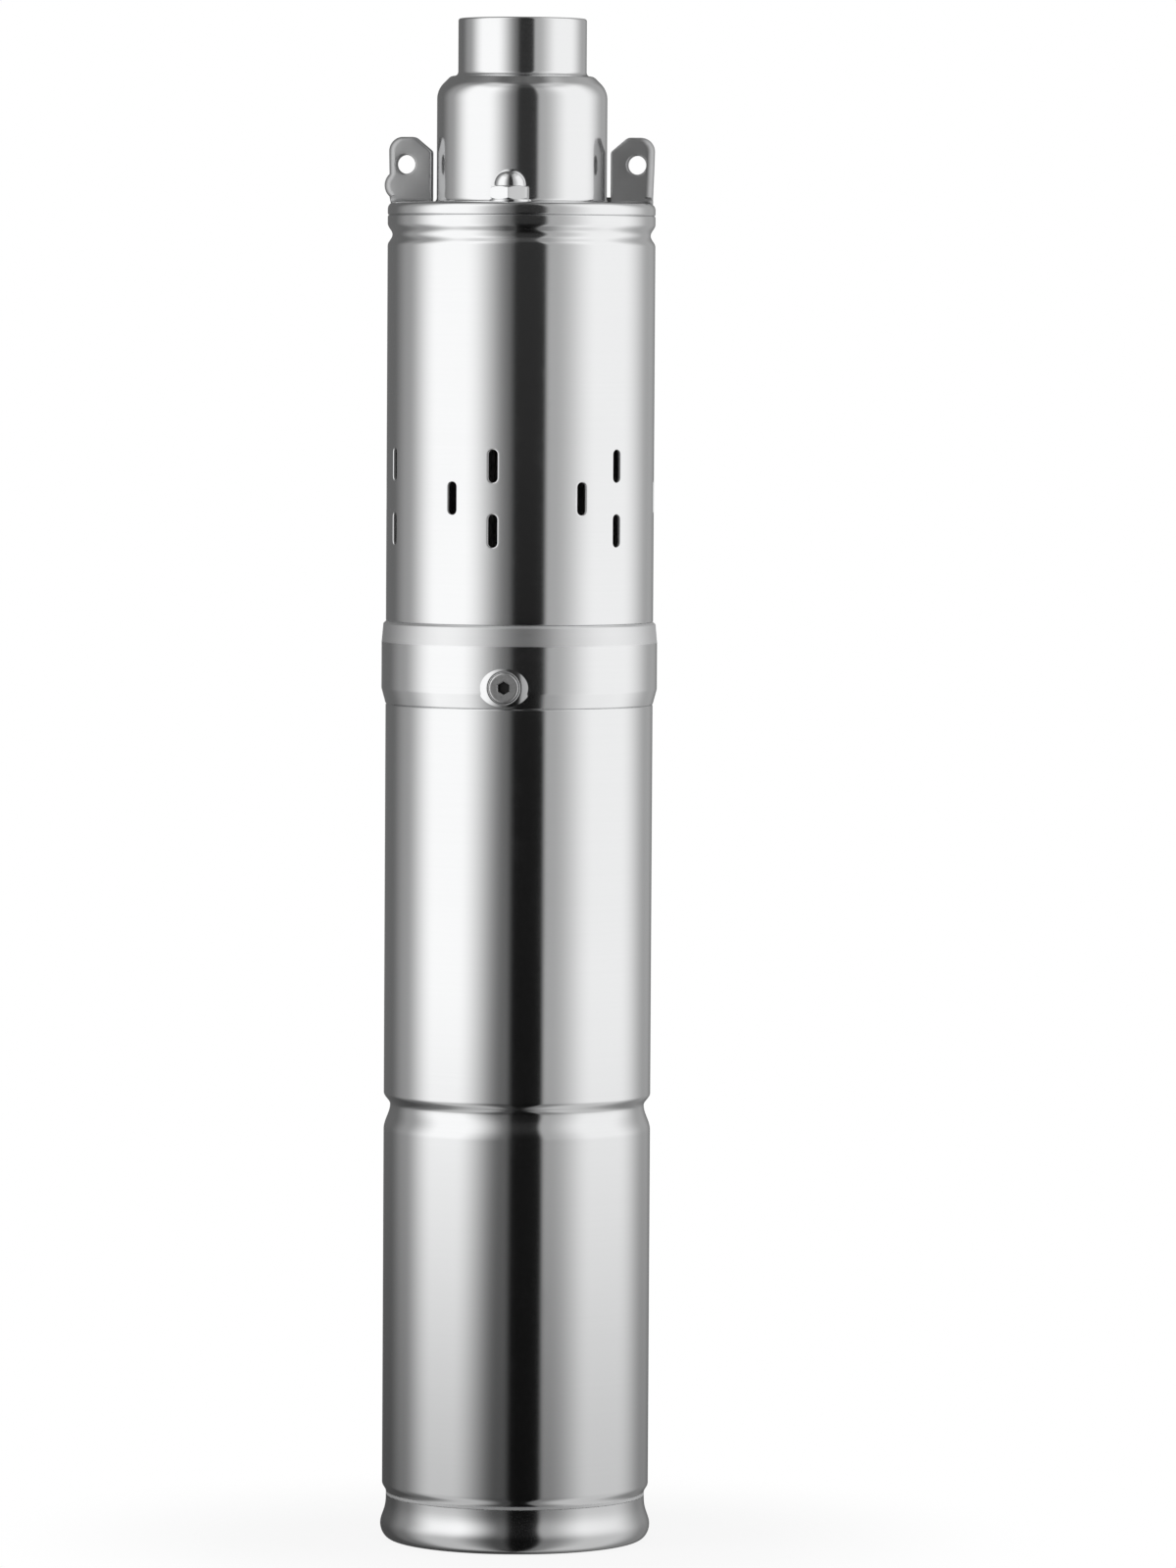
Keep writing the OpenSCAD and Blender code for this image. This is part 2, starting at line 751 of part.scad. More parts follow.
module oil_plug_washer() {
    color("#b5763c")
        translate([0, -plug_seat, z_motor_top + plug_rise])
            rotate([90, 0, 0])
                ring(plug_thread_d / 2 + push_fit, plug_head_d / 2 - 0.2, 0, plug_washer_t);
}

module bell_o_ring() {
    o_ring(z_bell_o_ring);
}

// Shaft seal: a fixed ceramic seat in a rubber cup, and a spring-loaded head that turns with the shaft
module seal_seat() {
    color("#e6e2d6")
        ring(seat_bore_r, seat_r, z_oil_top, z_oil_top + seat_h);
}

module seal_seat_cup() {
    color("#232326")
        ring(seat_r + push_fit, seat_r + push_fit + seat_cup_t, z_oil_top, z_oil_top + seat_h);
}

module seal_head() {
    cup_r = seat_r + 0.5;
    face_in = seat_bore_r + 0.6;
    color("#6f7275")
        lathe([[shaft_r + push_fit, z_seal_head], [cup_r, z_seal_head], [cup_r, z_seal_head + seal_head_h * 0.6],
            [seat_r - 1.2, z_seal_head + seal_head_h * 0.6], [seat_r - 1.2, z_seal_head_top],
            [face_in, z_seal_head_top], [face_in, z_seal_head + seal_head_h * 0.5],
            [shaft_r + push_fit, z_seal_head + seal_head_h * 0.5]]);
}

module seal_spring_seat() {
    color("#9da0a3")
        ring(shaft_r + push_fit, spring_seat_r, z_spring_seat, z_spring_seat + spring_seat_t);
}

// A closed sweep through rings of points, each ring with the same number of sides
module sweep(rings) {
    sides = len(rings[0]);
    last = len(rings) - 1;
    points = [for (r = rings) for (p = r) p];
    walls = [for (i = [0:last - 1]) for (k = [0:sides - 1]) let (n = (k + 1) % sides)
        [i * sides + k, i * sides + n, (i + 1) * sides + n, (i + 1) * sides + k]];
    start_cap = [for (k = [sides - 1:-1:0]) k];
    end_cap = [for (k = [0:sides - 1]) last * sides + k];
    polyhedron(points, concat(walls, [start_cap], [end_cap]));
}

module seal_spring() {
    sides = 8;
    steps = spring_turns * 14;
    wire_r = spring_wire / 2;
    z0 = z_spring_seat + spring_seat_t + wire_r + push_fit;
    rise = z_seal_head - push_fit - wire_r - z0;
    color("#b4b7ba")
        sweep([for (i = [0:steps]) let (a = 360 * spring_turns * i / steps)
            [for (k = [0:sides - 1]) let (b = 360 * k / sides, r = spring_r + wire_r * cos(b))
                [r * cos(a), r * sin(a), z0 + rise * i / steps + wire_r * sin(b)]]]);
}

// Ball bearing: two grooved rings, the balls and the cage that spaces them
module race_groove(z) {
    translate([0, 0, z + bearing_w / 2])
        rotate_extrude()
            translate([ball_circle_r, 0])
                circle(r = ball_r + ball_play);
}

module bearing_outer_ring(z) {
    color("#a9acaf")
        difference() {
            ring(ball_circle_r + bearing_land, bearing_r, z, z + bearing_w);
            race_groove(z);
        }
}

module bearing_inner_ring(z) {
    color("#a9acaf")
        difference() {
            ring(shaft_r + push_fit, ball_circle_r - bearing_land, z, z + bearing_w);
            race_groove(z);
        }
}

module at_balls(z) {
    for (i = [0:ball_count - 1])
        rotate([0, 0, 360 * i / ball_count])
            translate([ball_circle_r, 0, z + bearing_w / 2])
                children();
}

module bearing_balls(z) {
    color("#d9dbdd")
        at_balls(z)
            sphere(r = ball_r);
}

module bearing_cage(z) {
    cage_t = bearing_land - 0.6;
    cage_w = ball_d + 1.6;
    color("#b08d4a")
        difference() {
            ring(ball_circle_r - cage_t, ball_circle_r + cage_t,
                z + (bearing_w - cage_w) / 2, z + (bearing_w + cage_w) / 2);
            at_balls(z)
                rotate([0, 90, 0])
                    cylinder(r = ball_r + ball_play, h = 2 * cage_t + 2 * over, center = true);
        }
}

module upper_bearing_outer_ring() {
    bearing_outer_ring(z_upper_bearing);
}

module upper_bearing_inner_ring() {
    bearing_inner_ring(z_upper_bearing);
}

module upper_bearing_balls() {
    bearing_balls(z_upper_bearing);
}

module upper_bearing_cage() {
    bearing_cage(z_upper_bearing);
}

module lower_bearing_outer_ring() {
    bearing_outer_ring(z_lower_bearing);
}

module lower_bearing_inner_ring() {
    bearing_inner_ring(z_lower_bearing);
}

module lower_bearing_balls() {
    bearing_balls(z_lower_bearing);
}

module lower_bearing_cage() {
    bearing_cage(z_lower_bearing);
}

module motor_tube() {
    color("#c6c8ca")
        tube_along(concat(swage_line(body_r), motor_groove_line(body_r), [[body_r, z_motor_top]]));
}

// Laminated stator core with open slots around its bore
module stator_core() {
    color("#77797c")
        difference() {
            ring(core_bore_r, core_r, z_core, z_core_top);
            for (i = [0:core_slots - 1])
                rotate([0, 0, 360 * i / core_slots]) {
                    translate([core_slot_in, -core_slot_w / 2, z_core - over])
                        cube([core_slot_h, core_slot_w, core_len + 2 * over]);
                    translate([core_bore_r - over, -core_slot_mouth / 2, z_core - over])
                        cube([core_slot_in - core_bore_r + 2 * over, core_slot_mouth, core_len + 2 * over]);
                }
        }
}

// Windings: coil sides in the slots, joined by rounded end turns over and under the core
module stator_windings() {
    coil_gap = 0.2;
    turn_in = core_slot_in + coil_gap;
    turn_w = core_slot_h - 2 * coil_gap;
    turn_round = 4;
    crown = concat([[turn_in, 0]], [[turn_in + turn_w, 0]],
        arc([turn_in + turn_w - turn_round, end_turn_h - turn_round], turn_round, 0, 90),
        arc([turn_in + turn_round, end_turn_h - turn_round], turn_round, 90, 180));
    color("#b36a35")
        union() {
            translate([0, 0, z_core_top])
                lathe(crown);
            translate([0, 0, z_core])
                lathe([for (p = crown) [p[0], -p[1]]]);
            for (i = [0:core_slots - 1])
                rotate([0, 0, 360 * i / core_slots])
                    translate([turn_in, -core_slot_w / 2 + coil_gap, z_core - over])
                        cube([turn_w, core_slot_w - 2 * coil_gap, core_len + 2 * over]);
        }
}

module lower_bearing_holder() {
    relief_r = bearing_ledge_r - 2.5;
    lead_hole_r = 3;
    lead_circle_r = (bearing_r + plug_r) / 2;
    color("#8d9092")
        difference() {
            lathe(concat([[relief_r, z_holder_bottom], [plug_r, z_holder_bottom]], motor_groove_line(plug_r),
                [[plug_r, z_holder_top], [bearing_r + push_fit, z_holder_top],
                 [bearing_r + push_fit, z_lower_bearing], [relief_r, z_lower_bearing]]));
            for (a = [45:90:315])
                rotate([0, 0, a])
                    translate([lead_circle_r, 0, z_holder_bottom - over])
                        cylinder(r = lead_hole_r, h = z_holder_top - z_holder_bottom + 2 * over);
        }
}

// Start capacitor in a cup that stands on the base cap's floor
module capacitor() {
    rim = 2;
    color("#4a4d52")
        lathe(concat([[0, z_capacitor], [capacitor_r, z_capacitor]],
            arc([capacitor_r - rim, z_capacitor + capacitor_h - rim], rim, 0, 90, 4),
            [[0, z_capacitor + capacitor_h]]));
}

module capacitor_terminals() {
    tab_w = 6.3;
    tab_t = 0.8;
    tab_h = 9;
    color("#c9a85a")
        for (s = [-1, 1])
            translate([s * capacitor_r / 2 - tab_t / 2, -tab_w / 2, z_capacitor + capacitor_h])
                cube([tab_t, tab_w, tab_h]);
}

module capacitor_cradle() {
    cup_in = capacitor_r + push_fit;
    cup_out = cup_in + cradle_wall;
    disc_r = base_cup_r - 2 * push_fit;
    ribs = 4;
    color("#35363a")
        union() {
            lathe([[0, z_cradle], [disc_r, z_cradle], [disc_r, z_capacitor], [cup_out, z_capacitor],
                [cup_out, z_capacitor + cradle_cup_h], [cup_in, z_capacitor + cradle_cup_h],
                [cup_in, z_capacitor], [0, z_capacitor]]);
            for (i = [0:ribs - 1])
                rotate([90, 0, 45 + i * 360 / ribs])
                    linear_extrude(height = cradle_wall, center = true)
                        polygon([[cup_out - over, z_capacitor - over], [disc_r - 2, z_capacitor - over],
                            [cup_out - over, z_capacitor + cradle_cup_h - 4]]);
        }
}

// Base cap: a bead under the tube, a flat foot, and a spigot that the tube is drawn in around
module base_cap() {
    bead_points = 8;
    flare = [for (i = [bead_points:-1:0]) let (t = i / bead_points)
        [base_neck_r + (bead_r - base_neck_r) * ease(t), z_base_top - (z_base_top - bead_z) * t]];
    under = [for (i = [1:bead_points]) let (a = 90 * i / bead_points)
        [foot_r + (bead_r - foot_r) * cos(a), bead_z * (1 - sin(a))]];
    spigot_top = z_base_top + base_spigot_h;
    color("#bfc2c4")
        lathe(concat([[0, 0]], flip(under), flare, swage_line(plug_r), o_ring_groove(z_base_o_ring),
            [[plug_r, spigot_top], [base_cup_r, spigot_top], [base_cup_r, base_floor], [0, base_floor]]));
}

module base_o_ring() {
    o_ring(z_base_o_ring);
}

module motor_shaft() {
    clip_r = shaft_r - circlip_groove;
    clip_play = push_fit;
    z_low_clip = z_lower_bearing - circlip_t;
    color("#b4b7ba")
        lathe([[0, z_shaft_bottom], [shaft_r - edge_bevel, z_shaft_bottom],
            [shaft_r, z_shaft_bottom + edge_bevel], [shaft_r, z_low_clip - clip_play],
            [clip_r, z_low_clip - clip_play], [clip_r, z_lower_bearing], [shaft_r, z_lower_bearing],
            [shaft_r, z_holder_top], [core_shaft_r, z_holder_top], [core_shaft_r, z_upper_bearing],
            [shaft_r, z_upper_bearing], [shaft_r, z_upper_bearing_top], [clip_r, z_upper_bearing_top],
            [clip_r, z_spring_seat + clip_play], [shaft_r, z_spring_seat + clip_play],
            [shaft_r, z_coupling], [shaft_end_r, z_coupling], [shaft_end_r, z_shaft_end],
            [0, z_shaft_end]]);
}

module rotor_core() {
    color("#77797c")
        ring(core_shaft_r + push_fit, rotor_r, z_core, z_core_top);
}

// End rings of the rotor's cage, with small blades that stir the oil
module rotor_end_rings() {
    ring_in = core_shaft_r + 4;
    ring_out = rotor_r - 1;
    blade_t = 2;
    color("#b9bcc0")
        for (end = [[z_core_top, 0], [z_core, 1]])
            translate([0, 0, end[0]])
                mirror([0, 0, end[1]])
                    union() {
                        ring(ring_in, ring_out, 0, end_ring_h / 2);
                        for (i = [0:end_ring_blades - 1])
                            rotate([0, 0, 360 * i / end_ring_blades])
                                translate([ring_in + 1, -blade_t / 2, end_ring_h / 2 - over])
                                    cube([ring_out - ring_in - 2, blade_t, end_ring_h / 2 + over]);
                    }
}

// Retaining rings under the lower bearing and over the upper one, each with its open gap
module circlip(z) {
    gap = 4;
    difference() {
        ring(shaft_r - circlip_groove + push_fit, circlip_r, z, z + circlip_t);
        translate([0, -gap / 2, z - over])
            cube([circlip_r + over, gap, circlip_t + 2 * over]);
    }
}

module shaft_circlips() {
    color("#5b5e61") {
        circlip(z_lower_bearing - circlip_t);
        circlip(z_upper_bearing_top);
    }
}

// Rubber slinger that keeps sand away from the seal
module sand_slinger() {
    z0 = z_bell_face + run_gap;
    color("#232326")
        lathe([[shaft_r + push_fit, z0 + 1], [slinger_r, z0], [slinger_r, z0 + 1],
            [shaft_r + 3, z0 + slinger_h], [shaft_r + push_fit, z0 + slinger_h]]);
}

module shaft_coupling() {
    z1 = z_coupling + coupling_len;
    color("#9da0a3")
        difference() {
            lathe([[shaft_end_r + push_fit, z_coupling], [coupling_r, z_coupling], [coupling_r, z1 - edge_bevel],
                [coupling_r - edge_bevel, z1], [flex_r + push_fit, z1], [flex_r + push_fit, z_shaft_end],
                [shaft_end_r + push_fit, z_shaft_end]]);
            at_coupling_screws()
                cylinder(r = coupling_screw_r + push_fit, h = coupling_r + over);
        }
}

module at_coupling_screws() {
    for (z = [(z_coupling + z_shaft_end) / 2, (z_shaft_end + z_coupling + coupling_len) / 2])
        translate([0, 0, z])
            rotate([90, 0, 0])
                children();
}

module coupling_screws() {
    color("#3c3e41")
        for (s = [[(z_coupling + z_shaft_end) / 2, shaft_end_r],
                [(z_shaft_end + z_coupling + coupling_len) / 2, flex_r]])
            translate([0, 0, s[0]])
                rotate([90, 0, 0])
                    translate([0, 0, s[1] + push_fit])
                        cylinder(r = coupling_screw_r, h = coupling_r - s[1] - 0.5);
}

// Flexible shaft: a round end in the coupling, a slim waist that bends, and a round end in the screw
module flexible_shaft() {
    z_bend = z_coupling + coupling_len + 1;
    z_bend_top = z_shank - 1;
    z_tip = z_shank + screw_shank_h - 2;
    z_waist = z_bend - over;
    waist_h = z_bend_top + over - z_waist;
    waist_r = flex_r - flex_waist;
    sides = 16;
    steps = 12;
    color("#c0c3c6")
        union() {
            translate([0, 0, z_flex_bottom])
                cylinder(r = flex_r, h = z_bend - z_flex_bottom);
            sweep([for (i = [0:steps]) let (x = screw_ecc * ease(i / steps))
                [for (k = [0:sides - 1]) let (b = -360 * k / sides)
                    [x + waist_r * cos(b), waist_r * sin(b), z_waist + waist_h * i / steps]]]);
            translate([screw_ecc, 0, z_bend_top])
                cylinder(r = flex_r, h = z_tip - z_bend_top);
        }
}

// Screw: a round section carried round its own axis by its eccentricity, on a bored shank
module screw_rotor() {
    turn = 360 * screw_len / screw_pitch;
    color("#d2d4d6")
        translate([screw_ecc, 0, 0])
            union() {
                difference() {
                    translate([0, 0, z_shank])
                        cylinder(r = screw_shank_r, h = screw_shank_h);
                    translate([0, 0, z_shank - over])
                        cylinder(r = flex_r + push_fit, h = screw_shank_h - 2 + push_fit + over);
                }
                translate([0, 0, z_screw_bottom])
                    linear_extrude(height = screw_len, twist = -turn, slices = ceil(turn / screw_step),
                            $fn = screw_sides)
                        translate([screw_ecc, 0])
                            circle(r = screw_r);
            }
}

outlet_head();
cap_nuts();
nut_washers();
tie_studs();
cable_grommet();
head_o_ring();
intake_sleeve();
stator_tube();
stator_rubber();
intake_bracket();
end_bell();
lead_grommet();
oil_plug();
oil_plug_washer();
bell_o_ring();
seal_seat();
seal_seat_cup();
upper_bearing_outer_ring();
motor_tube();
stator_core();
stator_windings();
lower_bearing_holder();
lower_bearing_outer_ring();
capacitor();
capacitor_terminals();
capacitor_cradle();
base_cap();
base_o_ring();
motor_shaft();
rotor_core();
rotor_end_rings();
upper_bearing_inner_ring();
lower_bearing_inner_ring();
shaft_circlips();
seal_spring_seat();
seal_spring();
seal_head();
sand_slinger();
shaft_coupling();
coupling_screws();
flexible_shaft();
screw_rotor();
upper_bearing_balls();
upper_bearing_cage();
lower_bearing_balls();
lower_bearing_cage();
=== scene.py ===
import math

import bmesh
import bpy
import numpy as np
from mathutils import Matrix, Vector
from mathutils.geometry import delaunay_2d_cdt


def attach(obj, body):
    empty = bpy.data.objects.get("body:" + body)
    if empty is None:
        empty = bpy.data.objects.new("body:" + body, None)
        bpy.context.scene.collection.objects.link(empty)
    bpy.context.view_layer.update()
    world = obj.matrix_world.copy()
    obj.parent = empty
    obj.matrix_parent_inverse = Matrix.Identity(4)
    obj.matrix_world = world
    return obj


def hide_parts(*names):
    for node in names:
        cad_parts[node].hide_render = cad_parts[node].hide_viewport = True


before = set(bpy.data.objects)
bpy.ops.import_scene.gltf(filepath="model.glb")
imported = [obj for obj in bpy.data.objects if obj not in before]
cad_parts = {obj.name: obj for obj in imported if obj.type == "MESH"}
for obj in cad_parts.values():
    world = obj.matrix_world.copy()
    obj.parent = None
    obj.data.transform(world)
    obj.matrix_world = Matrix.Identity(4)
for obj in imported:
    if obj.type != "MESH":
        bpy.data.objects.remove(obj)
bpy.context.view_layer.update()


# Base cap
# A cup turned from stainless bar that closes the motor tube's lower end and carries the pump on its flat
# foot. Its bead stands a little proud of the tube, and the drawn-in end of the tube holds its spigot.
MM = 0.001
SIDES = 288
SAME_POINT = 1e-7


class Socket:
    """One socket of a node tree: arithmetic on it adds Math nodes, and node() adds any other node."""

    def __init__(self, tree, socket):
        self.tree = tree
        self.socket = socket

    def node(self, kind, settings=None, sockets=None, output=0):
        made = self.tree.nodes.new(kind)
        for name, value in (settings or {}).items():
            setattr(made, name, value)
        feed(made, sockets or {})
        return Socket(self.tree, made.outputs[output])

    def math(self, operation, *others):
        return self.node("ShaderNodeMath", {"operation": operation}, dict(enumerate((self, *others))))

    def __add__(self, other):
        return self.math("ADD", other)

    def __sub__(self, other):
        return self.math("SUBTRACT", other)

    def __rsub__(self, other):
        return self.node("ShaderNodeMath", {"operation": "SUBTRACT"}, {0: other, 1: self})

    def __mul__(self, other):
        return self.math("MULTIPLY", other)

    def __truediv__(self, other):
        return self.math("DIVIDE", other)

    __radd__ = __add__
    __rmul__ = __mul__

    def step(self, low, high):
        """A soft step from 0 at low to 1 at high."""
        sockets = {"Value": self, "From Min": low, "From Max": high}
        return self.node("ShaderNodeMapRange", {"interpolation_type": "SMOOTHSTEP"}, sockets)

    def tint(self, low, high):
        """A colour that goes from low to high as this value goes from 0 to 1."""
        return self.node("ShaderNodeMix", {"data_type": "RGBA"}, {0: self, 6: low, 7: high}, output=2)

    def axes(self):
        parts = self.node("ShaderNodeSeparateXYZ", None, {0: self}).socket.node.outputs
        return [Socket(self.tree, part) for part in parts]

    def noise(self, scale, detail=3.0):
        """Noise on this place, with its own scale along each axis."""
        spread = self.node("ShaderNodeVectorMath", {"operation": "MULTIPLY"}, {0: self, 1: scale})
        return self.node("ShaderNodeTexNoise", None, {"Vector": spread, "Scale": 1.0, "Detail": detail})

    def bump(self, strength, depth):
        """A surface normal raised by this height."""
        return self.node("ShaderNodeBump", None, {"Strength": strength, "Distance": depth, "Height": self})


def feed(made, values):
    """Links or values for a node's sockets, by name or number."""
    for name, value in values.items():
        if isinstance(value, Socket):
            value.tree.links.new(value.socket, made.inputs[name])
        else:
            made.inputs[name].default_value = value


def grey(value, warmth=0.0):
    return (value * (1 + warmth), value, value * (1 - warmth), 1.0)


def start_finish(name):
    """A new material, with its shader and the place on the piece that its patterns read."""
    material = bpy.data.materials.new(name)
    material.use_nodes = True
    tree = material.node_tree
    place = Socket(tree, tree.nodes.new("ShaderNodeTexCoord").outputs["Object"])
    return material, tree.nodes["Principled BSDF"], place


def polished_steel(name, roughness, seam=0.0, satin=None, raw=None):
    """Stainless steel buffed on a lathe: fine lines round the axis, uneven haze, and a ground weld at the
    back where a seam is asked for. From the first to the second height in satin it turns coarser, and what
    lies deeper than the radius in raw, between its two heights, is left dull and dark."""
    material, shader, place = start_finish(name)
    lines = place.noise((9, 9, 2600), 4)
    haze = place.noise((26, 26, 14), 3)
    smears = place.noise((110, 110, 60), 5).step(0.56, 0.78)
    x, y, z = place.axes()
    weld = (1 - x.math("ABSOLUTE").step(0.0009, 0.0019)) * y.step(0, 0.02) * seam
    ripple = (z * 2200).math("SINE") * weld
    tone = haze * 0.5 + lines * 0.35 + weld * 0.25
    gloss = lines * 0.05 + haze * 0.06 + smears * 0.03 + weld * 0.16 + (roughness - 0.05)
    colour = tone.tint(grey(0.875, -0.004), grey(0.815, -0.006))
    metal = 1.0
    if satin:
        satin_low, satin_high, coarser = satin
        gloss = gloss + z.step(satin_low * MM, satin_high * MM) * coarser
    if raw:
        raw_r, raw_low, raw_high = (size * MM for size in raw)
        deep = 1 - (x * x + y * y).math("SQRT").step(raw_r - 0.3 * MM, raw_r)
        dull = deep * z.step(raw_low - MM, raw_low) * (1 - z.step(raw_high, raw_high + MM))
        colour = dull.tint(colour, grey(0.3))
        gloss = gloss + dull * 0.4
        metal = 1 - dull * 0.85
    feed(shader, {
        "Base Color": colour,
        "Metallic": metal,
        "Roughness": gloss,
        "Normal": (lines * 0.35 + ripple * 0.5 + smears * 0.05).bump(0.05, 0.0002),
    })
    return material


def eased(corners, hold=0.15):
    """A closed outline with each corner (radius, height, ease) rounded by its ease, and held flat beside the
    rounds."""
    points = []
    for index, (radius, height, ease) in enumerate(corners):
        here = Vector((radius, height))
        before = Vector(corners[index - 1][:2]) - here
        after = Vector(corners[(index + 1) % len(corners)][:2]) - here
        half = before.angle(after) / 2
        if ease == 0 or half > math.radians(89.5):
            points.append(here)
            continue
        reach = ease / math.tan(half)
        centre = here + (before.normalized() + after.normalized()).normalized() * ease / math.sin(half)
        first = (here + before.normalized() * reach - centre).normalized()
        last = (here + after.normalized() * reach - centre).normalized()
        steps = max(4, round(ease * 3))
        if before.length > 2.5 * (reach + hold):
            points.append(here + before.normalized() * (reach + hold))
        points += [centre + first.slerp(last, step / steps) * ease for step in range(steps + 1)]
        if after.length > 2.5 * (reach + hold):
            points.append(here + after.normalized() * (reach + hold))
    return points


def corners_of(points):
    """Points of a curve as corners that need no ease."""
    return [(radius, height, 0) for radius, height in points]


def soften(mesh, angle=32):
    """Smooth shading, with sharp edges where faces meet at more than the angle."""
    mesh.polygons.foreach_set("use_smooth", [True] * len(mesh.polygons))
    mesh.set_sharp_from_angle(angle=math.radians(angle))


def show(name, mesh, finish):
    piece = bpy.data.objects.new(name, mesh)
    mesh.materials.clear()
    mesh.materials.append(finish)
    bpy.context.scene.collection.objects.link(piece)
    return piece


def finished(name, shell, finish, angle=32):
    """The shell as a piece of its own, with its faces turned outwards and shaded smooth."""
    bmesh.ops.recalc_face_normals(shell, faces=shell.faces)
    mesh = bpy.data.meshes.new(name)
    shell.to_mesh(mesh)
    shell.free()
    soften(mesh, angle)
    return show(name, mesh, finish)


def ring_shell(points):
    """A shell through rings of points in millimetres, each joined to the next and the last to the first."""
    rings, count = points.shape[:2]
    faces = [
        (ring * count + step, ring * count + (step + 1) % count,
         (ring + 1) % rings * count + (step + 1) % count, (ring + 1) % rings * count + step)
        for ring in range(rings) for step in range(count)
    ]
    draft = bpy.data.meshes.new("draft")
    draft.from_pydata((points.reshape(-1, 3) * MM).tolist(), [], faces)
    shell = bmesh.new()
    shell.from_mesh(draft)
    bpy.data.meshes.remove(draft)
    return shell


def turned(name, outline, finish, sides=SIDES, place=Matrix(), across_flats=None):
    """A part turned from an outline in millimetres, with flats milled on it where across_flats is given."""
    radii = np.array([point[0] for point in outline])
    heights = np.array([point[1] for point in outline])
    angles = np.arange(sides) * 2 * math.pi / sides
    spread = np.repeat(radii[None, :], sides, axis=0)
    if across_flats:
        flat_turn = np.mod(angles, math.pi / 3) - math.pi / 6
        spread = np.minimum(spread, (across_flats / 2 / np.cos(flat_turn))[:, None])
    x = spread * np.sin(angles)[:, None]
    y = -spread * np.cos(angles)[:, None]
    z = np.repeat(heights[None, :], sides, axis=0)
    shell = ring_shell(np.stack([x, y, z], axis=2))
    bmesh.ops.remove_doubles(shell, verts=shell.verts, dist=SAME_POINT)
    bmesh.ops.dissolve_degenerate(shell, edges=shell.edges, dist=SAME_POINT)
    shell.transform(place)
    return finished(name, shell, finish)


def seat(piece, node, body="casing"):
    """The piece moves with its body and stands for the CAD node, which is hidden."""
    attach(piece, body)
    if node:
        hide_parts(node)


def ease_in_out(share):
    return (1 - math.cos(math.pi * share)) / 2


body_r = 48.0
wall = 1.2
spigot_gap = 0.05
spigot_r = body_r - wall - spigot_gap
base_top = 16.0
land_len = 1.0
drawn_in = 1.4
drawn_len = 3.4
hold_len = 0.6
ring_half = 1.4
ring_deep = 2.0
flare_lean = 1.5
bead_r = 48.6
bead_height = 5.5
foot_r = 44.4
cup_r = spigot_r - 5
cup_floor = 10.0
spigot_top = base_top + 19


def drawn_end(radius, steps=14):
    """The curve by which the tube's lower end is drawn in, from its edge up to the full radius."""
    rise_low = base_top + land_len
    rise = [
        (radius - drawn_in * (1 - ease_in_out(step / steps)), rise_low + drawn_len * step / steps)
        for step in range(steps + 1)
    ]
    return [(radius - drawn_in, base_top)] + rise + [(radius, rise_low + drawn_len + hold_len)]


def ring_groove(height):
    """The square groove of an O-ring, as points up a spigot's side."""
    low = height - ring_half
    high = height + ring_half
    root = spigot_r - ring_deep
    return [(spigot_r, low, 0), (root, low, 0), (root, high, 0), (spigot_r, high, 0)]


bead_steps = 18
flare = [
    (body_r - drawn_in + (bead_r - body_r + drawn_in) * ease_in_out((step / bead_steps) ** flare_lean),
     base_top - (base_top - bead_height) * step / bead_steps)
    for step in range(bead_steps, -1, -1)
]
under = [
    (foot_r + (bead_r - foot_r) * math.sin(math.pi / 2 * step / bead_steps),
     bead_height * (1 - math.cos(math.pi / 2 * step / bead_steps)))
    for step in range(bead_steps)
]
base_outline = eased(
    [(0, 0, 0)] + corners_of(under) + corners_of(flare) + corners_of(drawn_end(spigot_r))
    + ring_groove(spigot_top - 4)
    + [(spigot_r, spigot_top, 0.6), (cup_r, spigot_top, 0.6), (cup_r, cup_floor, 1.5), (0, cup_floor, 0)]
)
turned_stainless = polished_steel("turned_stainless", 0.13)
base_cap = turned("base_cap_turned", base_outline, turned_stainless)
seat(base_cap, "base_cap")


# Motor tube
# A thin stainless tube, rolled from sheet, welded along its back and polished, all but its cut lower edge.
# It is drawn in over the base cap, and a groove rolled into it near the middle holds the lower bearing.
motor_top = 301.6
groove_mid = 157.1
groove_depth = 2.3
groove_up = 4.4
groove_down = 9.0
cut_edge_len = 1.1


def rolled_groove(radius, mid, up, down, depth, steps=24):
    """A groove pressed into a tube by a roller, as points up the tube's side."""
    below = [
        (radius - depth * ease_in_out(step / steps), mid - down + down * step / steps)
        for step in range(steps)
    ]
    above = [
        (radius - depth * (1 - ease_in_out(step / steps)), mid + up * step / steps)
        for step in range(steps + 1)
    ]
    return [(radius, mid - down - hold_len)] + below + above + [(radius, mid + up + hold_len)]


def inside_of(points):
    """The inner face of a tube wall whose outer face goes through the points, from its last point back."""
    return [(radius - wall, height, 0) for radius, height in reversed(points)]


motor_side = drawn_end(body_r) + rolled_groove(body_r, groove_mid, groove_up, groove_down, groove_depth)
motor_corners = [(*motor_side[0], 0.3)] + corners_of(motor_side[1:])
motor_outline = eased(
    motor_corners + [(body_r, motor_top, 0.55), (body_r - wall, motor_top, 0.2)] + inside_of(motor_side)
)
cut_edge = base_top + cut_edge_len
tube_stainless = polished_steel("tube_stainless", 0.11, seam=1.0, satin=(cut_edge + 0.3, cut_edge, 0.5))
motor_tube = turned("motor_tube_rolled", motor_outline, tube_stainless)
seat(motor_tube, "motor_tube")


